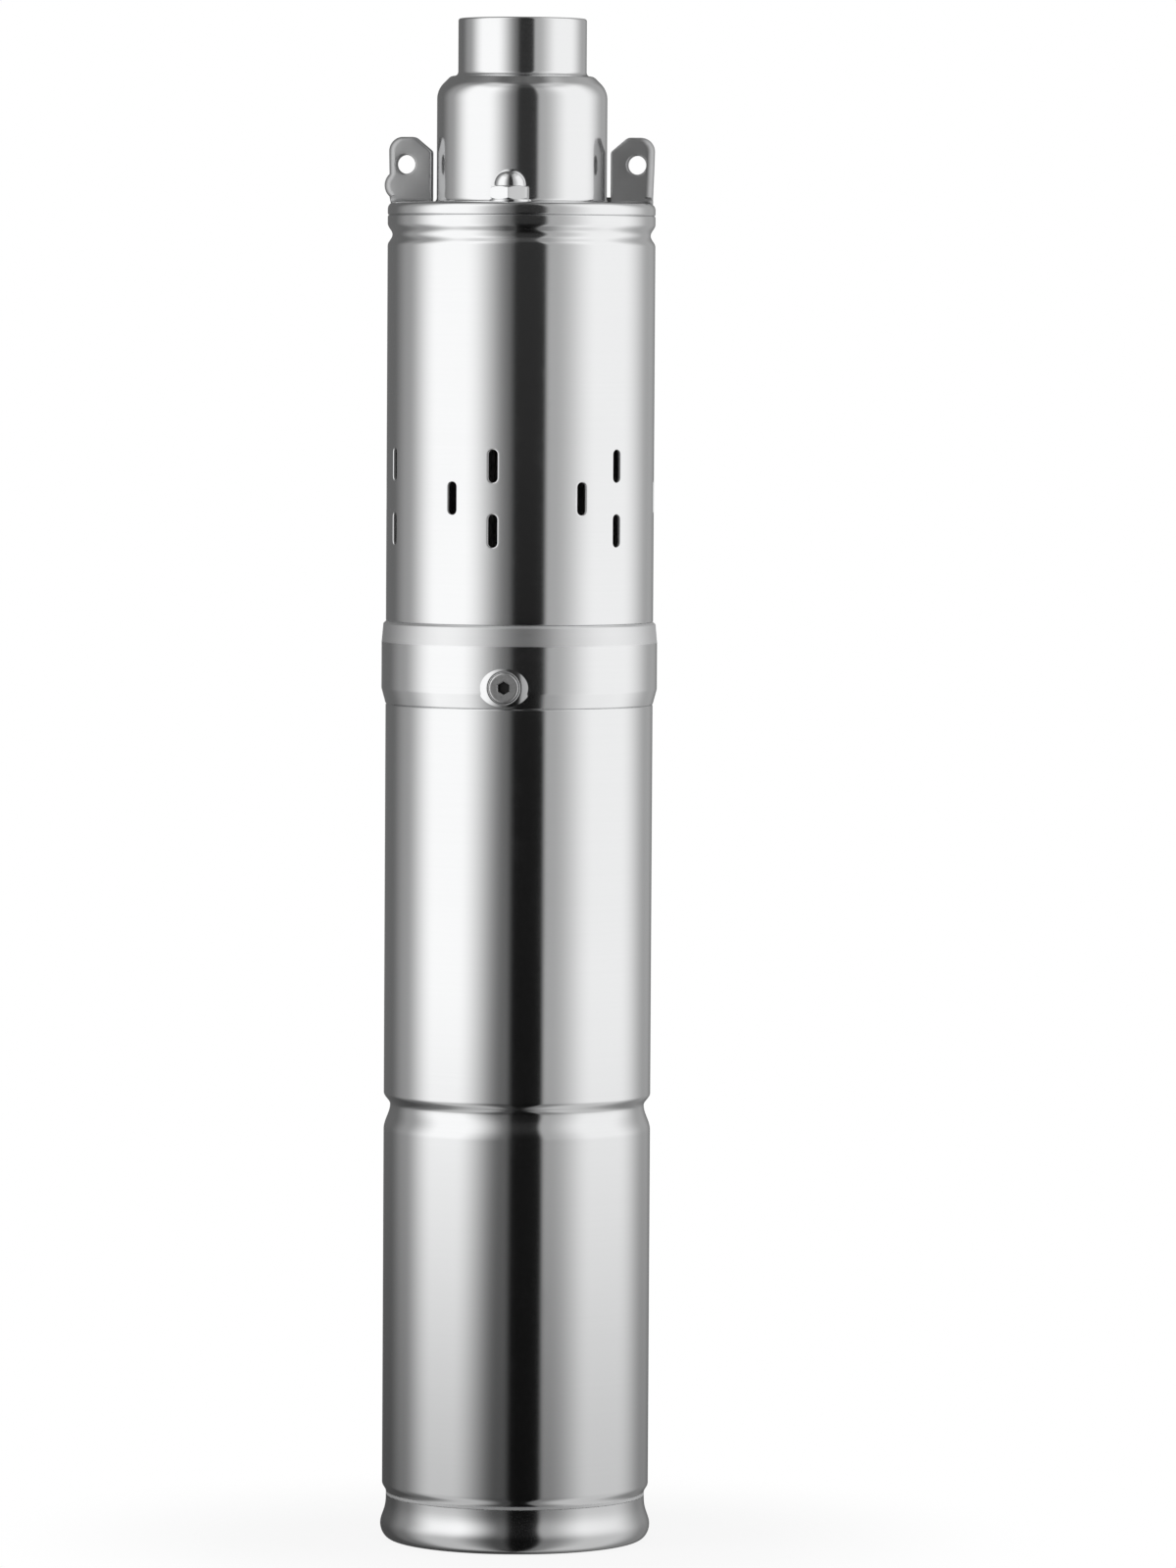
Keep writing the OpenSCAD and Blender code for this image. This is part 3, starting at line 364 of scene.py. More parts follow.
# End bell
# A stainless turning between the two tubes, with a spigot into each. Its band shows outside: it swells out of
# the motor tube, runs straight past the oil plug and narrows, left satin, under the intake sleeve.
band_r = 49.5
band_top = 331.2
band_swell = 5.5
band_shoulder = band_top - 7.4
bell_bottom = motor_top - 24
bearing_top = bell_bottom + 15.5
oil_floor = bearing_top + 4
bell_face = band_top + 6
oil_roof = bell_face - 10
seal_seat_top = oil_roof + 7.4
bearing_pocket_r = 17.55
shaft_hole_r = 9.2
seal_pocket_r = 16.1
oil_chamber_r = 22.0
oil_hole_r = 14.5
stud_circle = 38.5
stud_hole_len = 12.0
plug_height = 309.2
plug_seat_r = band_r - 1.4
plug_head_r = 5.3
plug_hole_r = plug_head_r + 0.05
plug_hole_end = 15
stud_hole_r = 4.05
grommet_hole_r = 5.55
grommet_place = stud_circle / math.sqrt(2)


def plain(piece):
    """The piece's mesh with its modifiers worked in, and no modifier left on it."""
    shape = piece.evaluated_get(bpy.context.evaluated_depsgraph_get())
    mesh = bpy.data.meshes.new_from_object(shape)
    spent = piece.data
    piece.modifiers.clear()
    piece.data = mesh
    bpy.data.meshes.remove(spent)
    return piece


def drilled(piece, cutters):
    """The piece with the cutters' shapes taken out of it."""
    for cutter in cutters:
        cut = piece.modifiers.new("cut", "BOOLEAN")
        cut.operation = "DIFFERENCE"
        cut.solver = "EXACT"
        cut.object = cutter
    plain(piece)
    soften(piece.data)
    for cutter in cutters:
        spent = cutter.data
        bpy.data.objects.remove(cutter)
        bpy.data.meshes.remove(spent)
    return piece


def drill(radius, low, high, place, sides=48):
    """A round cutter in millimetres along the height of the place."""
    outline = [(0, low), (radius, low), (radius, high), (0, high)]
    return turned("cutter", outline, turned_stainless, sides, place)


def moved(x, y, z=0.0):
    return Matrix.Translation(Vector((x, y, z)) * MM)


to_front = Matrix.Rotation(math.pi / 2, 4, "X")
bell_outline = eased(
    [(bearing_pocket_r, bell_bottom, 0.4), (spigot_r, bell_bottom, 0.6)]
    + ring_groove(motor_top - 7)
    + [(spigot_r, motor_top, 0), (body_r, motor_top, 0.5), (band_r, motor_top + band_swell, 3),
       (band_r, band_shoulder, 3), (band_r - 0.6, band_top - 0.8, 0.6), (body_r, band_top, 0.15),
       (spigot_r, band_top, 0), (spigot_r, bell_face, 0.8), (shaft_hole_r, bell_face, 0.4),
       (shaft_hole_r, seal_seat_top, 0), (seal_pocket_r, seal_seat_top, 0), (seal_pocket_r, oil_roof, 0.3),
       (oil_chamber_r, oil_roof, 1), (oil_chamber_r, oil_floor, 1), (oil_hole_r, oil_floor, 0.3),
       (oil_hole_r, bearing_top, 0), (bearing_pocket_r, bearing_top, 0)]
)
band_stainless = polished_steel(
    "band_stainless", 0.13, satin=(band_shoulder - 0.4, band_shoulder + 0.4, 0.26)
)
end_bell = turned("end_bell_turned", bell_outline, band_stainless)
plug_axis = moved(0, 0, plug_height) @ to_front
drilled(end_bell, [
    drill(stud_hole_r, bell_face - stud_hole_len, bell_face + 1, moved(0, -stud_circle)),
    drill(stud_hole_r, bell_face - stud_hole_len, bell_face + 1, moved(0, stud_circle)),
    drill(grommet_hole_r, bell_bottom - 1, bell_face + 1, moved(grommet_place, grommet_place)),
    drill(stud_hole_r, plug_hole_end, band_r, plug_axis),
    drill(plug_hole_r, plug_seat_r, band_r + 2, plug_axis, 96),
])
seat(end_bell, "end_bell")


# Plug boss
# A shallow dome on the end bell's band, round the oil plug, polished with the band. It runs out into the
# band's round side, so that it looks wider than it is high.
boss_rise = 1.2
boss_half_high = 6.9
boss_half_wide = 9.3
boss_half_chord = 6.8
boss_dome_r = (boss_half_chord ** 2 + boss_rise ** 2) / (2 * boss_rise)
boss_lip = 0.9
boss_root = 2.0


def domed_boss(name, finish, sides=144, steps=20, crowding=1.6):
    """The dome in rings, which crowd at the counterbore's rounded lip, with both edges carried down into the
    band."""
    angles = np.arange(sides) * 2 * math.pi / sides
    rim = 1 / np.hypot(np.sin(angles) / boss_half_wide, np.cos(angles) / boss_half_high)
    shares = [0.0, *((step / steps) ** crowding for step in range(steps + 1)), 1.0]
    rings = []
    for index, share in enumerate(shares):
        reach = plug_hole_r + (rim - plug_hole_r) * share
        height = band_r + boss_rise - boss_dome_r + np.sqrt(boss_dome_r ** 2 - reach ** 2)
        inside = np.clip(boss_lip - (reach - plug_hole_r), 0, boss_lip)
        height += np.sqrt(boss_lip ** 2 - inside ** 2) - boss_lip
        sunk = boss_root if index in (0, len(shares) - 1) else 0.0
        spots = [reach * np.sin(angles), sunk - height, plug_height + reach * np.cos(angles)]
        rings.append(np.stack(spots, axis=1))
    return finished(name, ring_shell(np.stack(rings)), finish)


seat(domed_boss("plug_boss_domed", turned_stainless), None)


# Oil plug
# A flat-headed screw that closes the oil chamber, turned from stainless bar with a hexagon socket broached in
# it. It bears on a soft copper washer in the boss's counterbore, and its face is left as it was turned.
washer_t = 0.8
washer_hole_r = 4.05
washer_r = plug_head_r - 0.2
plug_top = 2.6
plug_end = -22.1
plug_thread_r = 4.0
socket_corner_r = 2.0 / math.cos(math.pi / 6)
socket_floor = plug_top - 2.4
plug_place = moved(0, -plug_seat_r, plug_height) @ to_front


def socket_painted_shade(place):
    """Where the plug's hexagon socket is painted dark as shade: below its rim and near its axis."""
    x, y, z = place.axes()
    aside = z - plug_height * MM
    off_axis = (x * x + aside * aside).math("SQRT")
    below = (y + (plug_seat_r + plug_top) * MM).step(0.3 * MM, 0.7 * MM)
    return below * (1 - off_axis.step(2.6 * MM, 3 * MM))


def worked_metal(name, low, high, roughness, grain, relief, spread=0.12, metal=1.0, painted_shade=None):
    """A worked metal: tool marks or grain drawn out along the given scales, with uneven tone, gloss and
    relief, and a dark painted shade where the given mask says."""
    material, shader, place = start_finish(name)
    marks = place.noise(grain, 4)
    bloom = place.noise((45, 45, 45), 4)
    tone = marks * 0.55 + bloom * 0.45
    colour = tone.step(0.25, 0.75).tint(low, high)
    if painted_shade:
        # Painted shade: the colour turns near black where the mask says, standing in for shade.
        colour = painted_shade(place).tint(colour, grey(0.07))
    feed(shader, {
        "Base Color": colour,
        "Metallic": metal,
        "Roughness": marks * spread + bloom * spread + (roughness - spread),
        "Normal": (marks * 0.8 + bloom * 0.2).bump(relief, 0.0003),
    })
    return material


plug_outline = eased([
    (0, plug_end, 0), (plug_thread_r, plug_end, 0.6), (plug_thread_r, washer_t, 0),
    (plug_head_r, washer_t, 0.1), (plug_head_r, plug_top, 0.6), (0, plug_top, 0),
])
# The plug's finish has painted shade in its hexagon socket.
plug_stainless = worked_metal(
    "plug_stainless", grey(0.56), grey(0.72), 0.36, (900, 60, 900), 0.12, painted_shade=socket_painted_shade
)
oil_plug = turned("oil_plug_turned", plug_outline, plug_stainless, 144, plug_place)
socket_outline = [
    (0, socket_floor), (socket_corner_r, socket_floor), (socket_corner_r, plug_top - 0.35),
    (socket_corner_r + 0.5, plug_top + 0.15), (0, plug_top + 0.15),
]
drilled(oil_plug, [turned("cutter", socket_outline, plug_stainless, 6, plug_place)])
seat(oil_plug, "oil_plug")

soft_copper = worked_metal(
    "soft_copper", (0.52, 0.2, 0.09, 1), (0.78, 0.4, 0.24, 1), 0.38, (300, 300, 300), 0.25
)
washer_outline = eased([
    (washer_hole_r, 0, 0.1), (washer_r, 0, 0.3), (washer_r, washer_t, 0.3), (washer_hole_r, washer_t, 0.1),
])
plug_washer = turned("oil_plug_washer_pressed", washer_outline, soft_copper, 96, plug_place)
seat(plug_washer, "oil_plug_washer")


# Intake sleeve
# A polished stainless tube round the pump's inlet, welded along its back. Water enters through punched slots
# in groups of three, whose lips are rolled over, and a rolled groove grips the outlet head's spigot.
sleeve_top = 476.7
head_groove_mid = sleeve_top - 7
head_groove_depth = 1.7
head_groove_half = 4.0
slot_len = 11.6
slot_width = 3.3
slot_row = band_top + 45
slot_rise = 11.5
slot_groups = 6
group_turn = 57.4
pair_turn = 18.6
first_turn = -81.4
lip = 0.4
collar = 0.5
grid_clear = 0.75
overlap = 0.02


def slot_places():
    """Where the slots' middles are: turn from the front in degrees, and height."""
    for group in range(slot_groups):
        turn = first_turn + group * group_turn
        yield turn, slot_row
        yield turn + pair_turn, slot_row - slot_rise
        yield turn + pair_turn, slot_row + slot_rise


def slot_loop(across, height, margin, end_steps=12, side_steps=5):
    """The outline of a slot on the unrolled sheet, moved out by the margin."""
    radius = slot_width / 2 + margin
    straight = slot_len / 2 - slot_width / 2
    loop = []
    for side in (1, -1):
        for step in range(end_steps + 1):
            angle = math.pi * step / end_steps
            loop.append((across + side * radius * math.cos(angle),
                         height + side * (straight + radius * math.sin(angle))))
        for step in range(1, side_steps):
            loop.append((across - side * radius, height + side * straight * (1 - 2 * step / side_steps)))
    return loop


def in_slot(points, across, height, margin):
    """Which points of the sheet lie inside a slot that is moved out by the margin."""
    straight = slot_len / 2 - slot_width / 2
    up = np.maximum(np.abs(points[:, 1] - height) - straight, 0)
    return np.hypot(points[:, 0] - across, up) < slot_width / 2 + margin


def slotted_sheet(rows, slots, girth, columns=300):
    """The flat sheet, meshed between the slots: its points, its faces and, in order, each slot's points."""
    grid = np.array([
        (girth * (column / columns - 0.5), row) for row in rows for column in range(columns + 1)
    ])
    free = np.ones(len(grid), bool)
    for across, height in slots:
        free &= ~in_slot(grid, across, height, lip + grid_clear)
    points = [Vector(point) for point in grid[free]]
    edges = []
    starts = []
    for across, height in slots:
        points += [Vector(point) for point in slot_loop(across, height, lip + collar)]
        loop = slot_loop(across, height, lip)
        start = len(points)
        starts.append(start)
        points += [Vector(point) for point in loop]
        edges += [(start + step, start + (step + 1) % len(loop)) for step in range(len(loop))]
    flat, _, faces, origins, _, _ = delaunay_2d_cdt(points, edges, [], 0, SAME_POINT)
    flat = np.array([tuple(point) for point in flat])
    middles = np.array([flat[list(face)].mean(axis=0) for face in faces])
    solid = np.ones(len(faces), bool)
    for across, height in slots:
        solid &= ~in_slot(middles, across, height, lip - overlap)
    kept = [tuple(faces[index]) for index in np.flatnonzero(solid)]
    found = {source: spot for spot, sources in enumerate(origins) for source in sources}
    return flat, kept, [[found[start + step] for step in range(len(loop))] for start in starts]


def slot_section(steps=5):
    """A slot's wall between its two rounded lips: how far each ring stands out, and how deep it lies."""
    tilts = [math.pi / 2 * step / steps for step in range(1, steps + 1)]
    outer_lip = [(lip * (1 - math.sin(tilt)), lip * (1 - math.cos(tilt))) for tilt in tilts]
    return outer_lip + [(margin, wall - depth) for margin, depth in reversed(outer_lip)]


def join_rings(shell, rings):
    """Faces from each ring of corners to the next."""
    for upper, lower in zip(rings, rings[1:]):
        for step in range(len(upper)):
            after = (step + 1) % len(upper)
            shell.faces.new((upper[step], upper[after], lower[after], lower[step]))


def slotted_sleeve(name, side, finish):
    """The sheet with its slots, rolled round the axis, with its seam, its ends and its slots' lips closed."""
    girth = 2 * math.pi * body_r
    slots = [((turn + 180) % 360 / 360 * girth - girth / 2, height) for turn, height in slot_places()]
    radii = [radius for radius, height in side]
    rows = [height for radius, height in side]
    flat, faces, rims = slotted_sheet(rows, slots, girth)
    shell = bmesh.new()

    def rolled(spots, depth):
        radius = np.interp(spots[:, 1], rows, radii) - depth
        angle = spots[:, 0] / body_r
        places = np.stack([radius * np.sin(angle), -radius * np.cos(angle), spots[:, 1]], axis=1)
        return [shell.verts.new(place * MM) for place in places]

    outer = rolled(flat, 0)
    inner = rolled(flat, wall)
    for face in faces:
        shell.faces.new([outer[corner] for corner in face])
        shell.faces.new([inner[corner] for corner in reversed(face)])
    for (across, height), rim in zip(slots, rims):
        lips = [
            rolled(np.array(slot_loop(across, height, margin)), depth) for margin, depth in slot_section()
        ]
        join_rings(shell, [[outer[spot] for spot in rim], *lips, [inner[spot] for spot in rim]])
    bmesh.ops.remove_doubles(shell, verts=shell.verts, dist=SAME_POINT)
    middle = (rows[0] + rows[-1]) / 2 * MM
    ends = [edge for edge in shell.edges if edge.is_boundary]
    bmesh.ops.bridge_loops(shell, edges=[edge for edge in ends if edge.verts[0].co.z < middle])
    bmesh.ops.bridge_loops(shell, edges=[edge for edge in ends if edge.verts[0].co.z > middle])
    return finished(name, shell, finish)


def eased_edge(radius, height, ease, upward, steps=4):
    """The rounded outer edge of a tube's end, as points along its side."""
    points = []
    for step in range(steps + 1):
        angle = math.pi / 2 * step / steps
        points.append((radius - ease * (1 - math.cos(angle)), height + upward * ease * (math.sin(angle) - 1)))
    return points if upward > 0 else points[::-1]


def straight_side(radius, low, high, spacing=2.4):
    """Evenly spaced points up a tube's straight side."""
    count = max(1, round((high - low) / spacing))
    return [(radius, low + (high - low) * (step + 0.5) / count) for step in range(count)]


groove_low = head_groove_mid - head_groove_half
groove_high = head_groove_mid + head_groove_half
sleeve_side = (
    eased_edge(body_r, band_top, 0.5, -1)
    + straight_side(body_r, band_top + 1, groove_low)
    + rolled_groove(body_r, head_groove_mid, head_groove_half, head_groove_half, head_groove_depth, 14)
    + straight_side(body_r, groove_high, sleeve_top - 1)
    + eased_edge(body_r, sleeve_top, 0.6, 1)
)
slot_edge = slot_rise + slot_len / 2 + 1
slot_wall_r = body_r - 0.15
sleeve_stainless = polished_steel(
    "sleeve_stainless", 0.11, seam=1.0, raw=(slot_wall_r, slot_row - slot_edge, slot_row + slot_edge)
)
intake_sleeve = slotted_sleeve("intake_sleeve_slotted", sleeve_side, sleeve_stainless)
seat(intake_sleeve, "intake_sleeve")


# Outlet head
# One stainless piece that closes the pump: a spigot in the sleeve, a flange on its edge, a neck with a sloped
# shoulder and the socket that the riser pipe screws into. The chamber inside leads the water from the stator.
flange_top = 481.3
neck_r = 30.5
neck_top = 526.5
shoulder_cut = 4.9
pipe_socket_r = 23.0
head_top = 547.1
spigot_bottom = sleeve_top - 22
stator_top = spigot_bottom + 10
thread_root_r = 16.6
thread_end = head_top - 21.6
chamber_r = 25.0
chamber_top = head_top - 31
stator_pocket_r = 24.05
stator_stop_r = 21.5
stud_way_r = 4.4

head_groove = rolled_groove(
    spigot_r, head_groove_mid, head_groove_half, head_groove_half, head_groove_depth, 10
)
head_outline = eased(
    [(stator_pocket_r, spigot_bottom, 0.4), (spigot_r, spigot_bottom, 0.6)]
    + ring_groove(spigot_bottom + 4)
    + corners_of(head_groove)
    + [(spigot_r, sleeve_top, 0), (body_r, sleeve_top, 0.7), (body_r, flange_top, 2.4),
       (neck_r, flange_top, 1.6), (neck_r, neck_top - shoulder_cut, 8),
       (neck_r - shoulder_cut, neck_top, 2.4), (pipe_socket_r, neck_top, 1.5),
       (pipe_socket_r, head_top, 0.8), (thread_root_r + 0.9, head_top, 0.3),
       (thread_root_r, head_top - 1.2, 0.3), (thread_root_r, thread_end, 0.3),
       (chamber_r, chamber_top, 2), (chamber_r, stator_top + 5, 0.5),
       (stator_stop_r, stator_top + 2.5, 0.3), (stator_stop_r, stator_top, 0),
       (stator_pocket_r, stator_top, 0)]
)
outlet_head = turned("outlet_head_turned", head_outline, turned_stainless)
drilled(outlet_head, [
    drill(stud_way_r, spigot_bottom - 1, flange_top + 1, moved(0, -stud_circle)),
    drill(stud_way_r, spigot_bottom - 1, flange_top + 1, moved(0, stud_circle)),
    drill(grommet_hole_r, spigot_bottom - 1, flange_top + 1, moved(grommet_place, grommet_place)),
])
seat(outlet_head, "outlet_head")


# Outlet thread
# The female pipe thread of the socket, cut on the lathe: one ridge that climbs the bore's wall.
# The ridge is swept along a spiral, with its crest on the bore that the CAD solid has.
thread_pitch = 2.309
thread_crest_r = 15.15
thread_entry = 1.6
ridge_share = 0.98
start_share = 0.7


def new_tree(name, sizes):
    """A geometry tree with named inputs for its sizes, and the sockets by which its nodes read them."""
    tree = bpy.data.node_groups.new(name, "GeometryNodeTree")
    tree.interface.new_socket("Geometry", in_out="OUTPUT", socket_type="NodeSocketGeometry")
    for label, kind in sizes.items():
        tree.interface.new_socket(label, in_out="INPUT", socket_type="NodeSocket" + kind)
    entry = tree.nodes.new("NodeGroupInput")
    return tree, {label: Socket(tree, entry.outputs[label]) for label in sizes}


def end_tree(tree, shape, finish):
    """The tree's end: instances made real and given their finish."""
    real = shape.node("GeometryNodeRealizeInstances", None, {"Geometry": shape})
    dressed = real.node("GeometryNodeSetMaterial", None, {"Geometry": real, "Material": finish})
    exit_node = tree.nodes.new("NodeGroupOutput")
    tree.links.new(dressed.socket, exit_node.inputs["Geometry"])


def grown(piece, tree, sizes):
    """The piece's mesh as the tree makes it from these sizes."""
    finish = piece.data.materials[0]
    modifier = piece.modifiers.new(tree.name, "NODES")
    modifier.node_group = tree
    for item in tree.interface.items_tree:
        if item.in_out == "INPUT" and item.name in sizes:
            modifier[item.identifier] = sizes[item.name]
    plain(piece)
    piece.data.materials.clear()
    piece.data.materials.append(finish)
    soften(piece.data)
    return piece


thread_tree, size = new_tree("screw_thread", {
    "Root Radius": "Float", "Pitch": "Float", "Turns": "Float", "Ridge": "Float", "Start": "Float",
})
turns = size["Turns"]
spiral = turns.node("GeometryNodeCurveSpiral", None, {
    "Resolution": 96, "Rotations": turns, "Start Radius": size["Root Radius"],
    "End Radius": size["Root Radius"], "Height": turns * size["Pitch"],
})
upright = spiral.node("GeometryNodeSetCurveNormal", {"mode": "Z_UP"}, {"Curve": spiral})
ridge = turns.node("GeometryNodeCurvePrimitiveCircle", {"mode": "RADIUS"}, {
    "Resolution": 3, "Radius": size["Ridge"],
})
inward = ridge.node("GeometryNodeTransform", None, {"Geometry": ridge, "Rotation": (0, 0, math.pi)})
swept = upright.node("GeometryNodeCurveToMesh", None, {
    "Curve": upright, "Profile Curve": inward, "Fill Caps": True,
})
lift = turns.node("ShaderNodeCombineXYZ", None, {"Z": size["Start"]})
raised = swept.node("GeometryNodeTransform", None, {"Geometry": swept, "Translation": lift})
end_tree(thread_tree, raised, turned_stainless)

ridge_r = (thread_root_r - thread_crest_r) * ridge_share
thread_turns = (head_top - thread_entry - thread_end - thread_pitch) / thread_pitch
outlet_thread = show("outlet_thread_cut", bpy.data.meshes.new("outlet_thread_cut"), turned_stainless)
grown(outlet_thread, thread_tree, {
    "Root Radius": thread_root_r * MM, "Pitch": thread_pitch * MM, "Turns": thread_turns,
    "Ridge": ridge_r * MM, "Start": (thread_end + thread_pitch * start_share) * MM,
})
seat(outlet_thread, None)


# Lifting lugs
# Two stainless plates that stand on the flange, one each side of the neck, with a hole for the safety rope.
# Their outer edges are rounded off most, and the left one has a heel at its outer root.
lug_t = 6.0
lug_inner = 32.2
lug_outer = 48.0
lug_foot = 47.2
lug_high = 23.4
lug_slope_low = 18.3
lug_slope_end = 38.3
lug_sunk = 0.5
lug_lean = 0.04
lug_ease_places = (41, 46.5)
lug_eases = (1.0, 2.6)
lug_heel_mid = (44.0, 6.1)
lug_heel_r = 5.5
rope_hole_mid = (41.6, 13.6)
rope_hole_r = 3.4
rope_hole_steps = 60
rope_hole_ease = 0.7


def arc_points(middle, radius, start, end, steps):
    """Points of an arc from the start angle to the end angle, in degrees."""
    angles = [math.radians(start + (end - start) * step / steps) for step in range(steps + 1)]
    return [(middle[0] + radius * math.cos(angle), middle[1] + radius * math.sin(angle)) for angle in angles]


def lug_outline(heel):
    """The plate's outline above the flange, from its foot up the outer edge and over the top to the neck's
    side."""
    corners = [(lug_inner, -lug_sunk, 0), (lug_foot, -lug_sunk, 0)]
    if heel:
        corners += corners_of(arc_points(lug_heel_mid, lug_heel_r, -47, 47, 22))
    else:
        corners += corners_of([(lug_foot + lug_lean * height, height) for height in range(1, 12)])
    corners += [(lug_outer, lug_high, 5), (lug_slope_end, lug_high, 3), (lug_inner, lug_slope_low, 1.5)]
    corners += corners_of([(lug_inner, height) for height in (16, 12, 8, 4)])
    return np.array([tuple(point) for point in eased(corners)])


def plate_edge(shell, loop, rounding, inward, steps=7):
    """Rings of points round a plate's edge: from its front face, over its rounded corners, to its back."""
    along = np.roll(loop, -1, axis=0) - np.roll(loop, 1, axis=0)
    across = np.stack([-along[:, 1], along[:, 0]], axis=1) * inward
    across /= np.linalg.norm(across, axis=1)[:, None]
    tilts = [math.pi / 2 * step / steps for step in range(steps + 1)]
    rings = []
    for face, turns in ((-1, tilts[::-1]), (1, tilts)):
        for tilt in turns:
            spots = loop + across * (rounding * (1 - math.cos(tilt)))[:, None]
            depths = face * (lug_t / 2 - rounding * (1 - math.sin(tilt)))
            rings.append([
                shell.verts.new((spot[0], depth, spot[1])) for spot, depth in zip(spots, depths)
            ])
    join_rings(shell, rings)
    return rings


def lug_plate(name, side, heel, finish):
    """A lug cut from plate, with its edges and its hole's edges rounded off."""
    shell = bmesh.new()
    outline = lug_outline(heel)
    last_turn = 360 * (rope_hole_steps - 1) / rope_hole_steps
    hole = np.array(arc_points(rope_hole_mid, rope_hole_r, 0, last_turn, rope_hole_steps - 1))
    edge_rings = plate_edge(shell, outline, np.interp(outline[:, 0], lug_ease_places, lug_eases), 1)
    hole_rings = plate_edge(shell, hole, np.full(len(hole), rope_hole_ease), -1)
    for end in (0, -1):
        rims = []
        for ring in (edge_rings[end], hole_rings[end]):
            rims += [shell.edges.get((ring[step - 1], ring[step])) for step in range(len(ring))]
        bmesh.ops.triangle_fill(shell, edges=rims, use_beauty=True)
    shell.transform(Matrix.Diagonal((side * MM, MM, MM, 1)) @ Matrix.Translation((0, 0, flange_top)))
    return finished(name, shell, finish, 40)


def plate_steel(name):
    """Stainless plate polished by hand: crossed fine scratches and a softer gloss than the turned parts."""
    material, shader, place = start_finish(name)
    upright_marks = place.noise((1900, 300, 60), 4)
    level_marks = place.noise((70, 300, 2100), 4)
    haze = place.noise((70, 70, 70), 3)
    marks = upright_marks * 0.5 + level_marks * 0.5
    feed(shader, {
        "Base Color": (marks * 0.5 + haze * 0.5).tint(grey(0.56, -0.004), grey(0.46, -0.006)),
        "Metallic": 1.0,
        "Roughness": marks * 0.08 + haze * 0.08 + 0.36,
        "Normal": (marks * 0.7 + haze * 0.3).bump(0.12, 0.0002),
    })
    return material


plate_stainless = plate_steel("plate_stainless")
for lug_name, lug_side, lug_heel in (("lifting_lug_right", 1, False), ("lifting_lug_left", -1, True)):
    seat(lug_plate(lug_name, lug_side, lug_heel, plate_stainless), None)


# Cap nuts and washers
# Two stainless M8 cap nuts with thin washers, which draw the head down on the tie studs.
# Each nut is formed from hexagon bar with a chamfer at both ends of its flats and a domed cap.
nut_flats = 13.0
nut_hex_h = 4.6
nut_h = 10.8
nut_dome_r = 5.7
nut_dome_low = nut_h - nut_dome_r
nut_dome_root = 0.25
nut_chamfer_in = 0.95
nut_chamfer_out = 0.05
nut_chamfer_h = 0.55
nut_washer_t = 0.8
nut_washer_r = 7.5
nut_washer_hole_r = 4.3

ring_tree, size = new_tree("ring_of_pieces", {
    "Geometry": "Geometry", "Count": "Int", "Circle Radius": "Float", "Height": "Float",
})
spots = size["Count"].node("GeometryNodePoints", None, {"Count": size["Count"]})
number = size["Count"].node("GeometryNodeInputIndex")
angle = number * (2 * math.pi) / size["Count"]
spot = angle.node("ShaderNodeCombineXYZ", None, {
    "X": angle.math("SINE") * size["Circle Radius"],
    "Y": angle.math("COSINE") * size["Circle Radius"] * -1.0,
    "Z": size["Height"],
})
placed = spots.node("GeometryNodeSetPosition", None, {"Geometry": spots, "Position": spot})
facing = angle.node("ShaderNodeCombineXYZ", None, {"Z": angle})
copies = placed.node("GeometryNodeInstanceOnPoints", None, {
    "Points": placed, "Instance": size["Geometry"], "Rotation": facing,
})
end_tree(ring_tree, copies, turned_stainless)

chamfer_steps = 6
corner_r = nut_flats / 2 / math.cos(math.pi / 6)
chamfer_width = nut_chamfer_in + nut_chamfer_out
lower_chamfer = [
    (corner_r - nut_chamfer_in + chamfer_width * step / chamfer_steps, nut_chamfer_h * step / chamfer_steps)
    for step in range(chamfer_steps + 1)
]
upper_chamfer = [(radius, nut_hex_h - height) for radius, height in reversed(lower_chamfer)]
dome_root = [(nut_dome_r + nut_dome_root, nut_hex_h), (nut_dome_r, nut_hex_h + nut_dome_root)]
dome_steps = 16
dome_tilts = [math.pi / 2 * step / dome_steps for step in range(dome_steps + 1)]
dome = [
    (nut_dome_r * math.cos(tilt), nut_dome_low + nut_dome_r * math.sin(tilt)) for tilt in dome_tilts
]
nut_outline = [(0, 0)] + lower_chamfer + upper_chamfer + dome_root + dome
cap_nuts = turned("cap_nuts_formed", nut_outline, turned_stainless, 96, across_flats=nut_flats)
grown(cap_nuts, ring_tree, {
    "Count": 2, "Circle Radius": stud_circle * MM, "Height": (flange_top + nut_washer_t) * MM,
})
seat(cap_nuts, "cap_nuts")

nut_washer_outline = eased([
    (nut_washer_hole_r, 0, 0.1), (nut_washer_r, 0, 0.1), (nut_washer_r, nut_washer_t, 0.3),
    (nut_washer_hole_r, nut_washer_t, 0.1),
])
nut_washers = turned("nut_washers_pressed", nut_washer_outline, turned_stainless, 96)
grown(nut_washers, ring_tree, {"Count": 2, "Circle Radius": stud_circle * MM, "Height": flange_top * MM})
seat(nut_washers, "nut_washers")


# Cable grommet
# A moulded rubber bush that seals the motor cable's way through the flange.
# It is pushed in from above, and its lip swells over the hole's edge.
grommet_bore_r = 4.0
grommet_r = 5.5
grommet_lip_r = 7.1
grommet_lip_h = 2.4


def moulded_rubber(name):
    """Black rubber from a mould: a dull fine grain with a grey bloom on it."""
    material, shader, place = start_finish(name)
    grain = place.noise((1600, 1600, 1600), 3)
    bloom = place.noise((120, 120, 120), 4).step(0.4, 0.75)
    feed(shader, {
        "Base Color": (bloom * 0.7 + grain * 0.3).tint(grey(0.018), grey(0.055)),
        "Roughness": grain * 0.2 + bloom * 0.15 + 0.5,
        "Normal": grain.bump(0.3, 0.0002),
    })
    return material


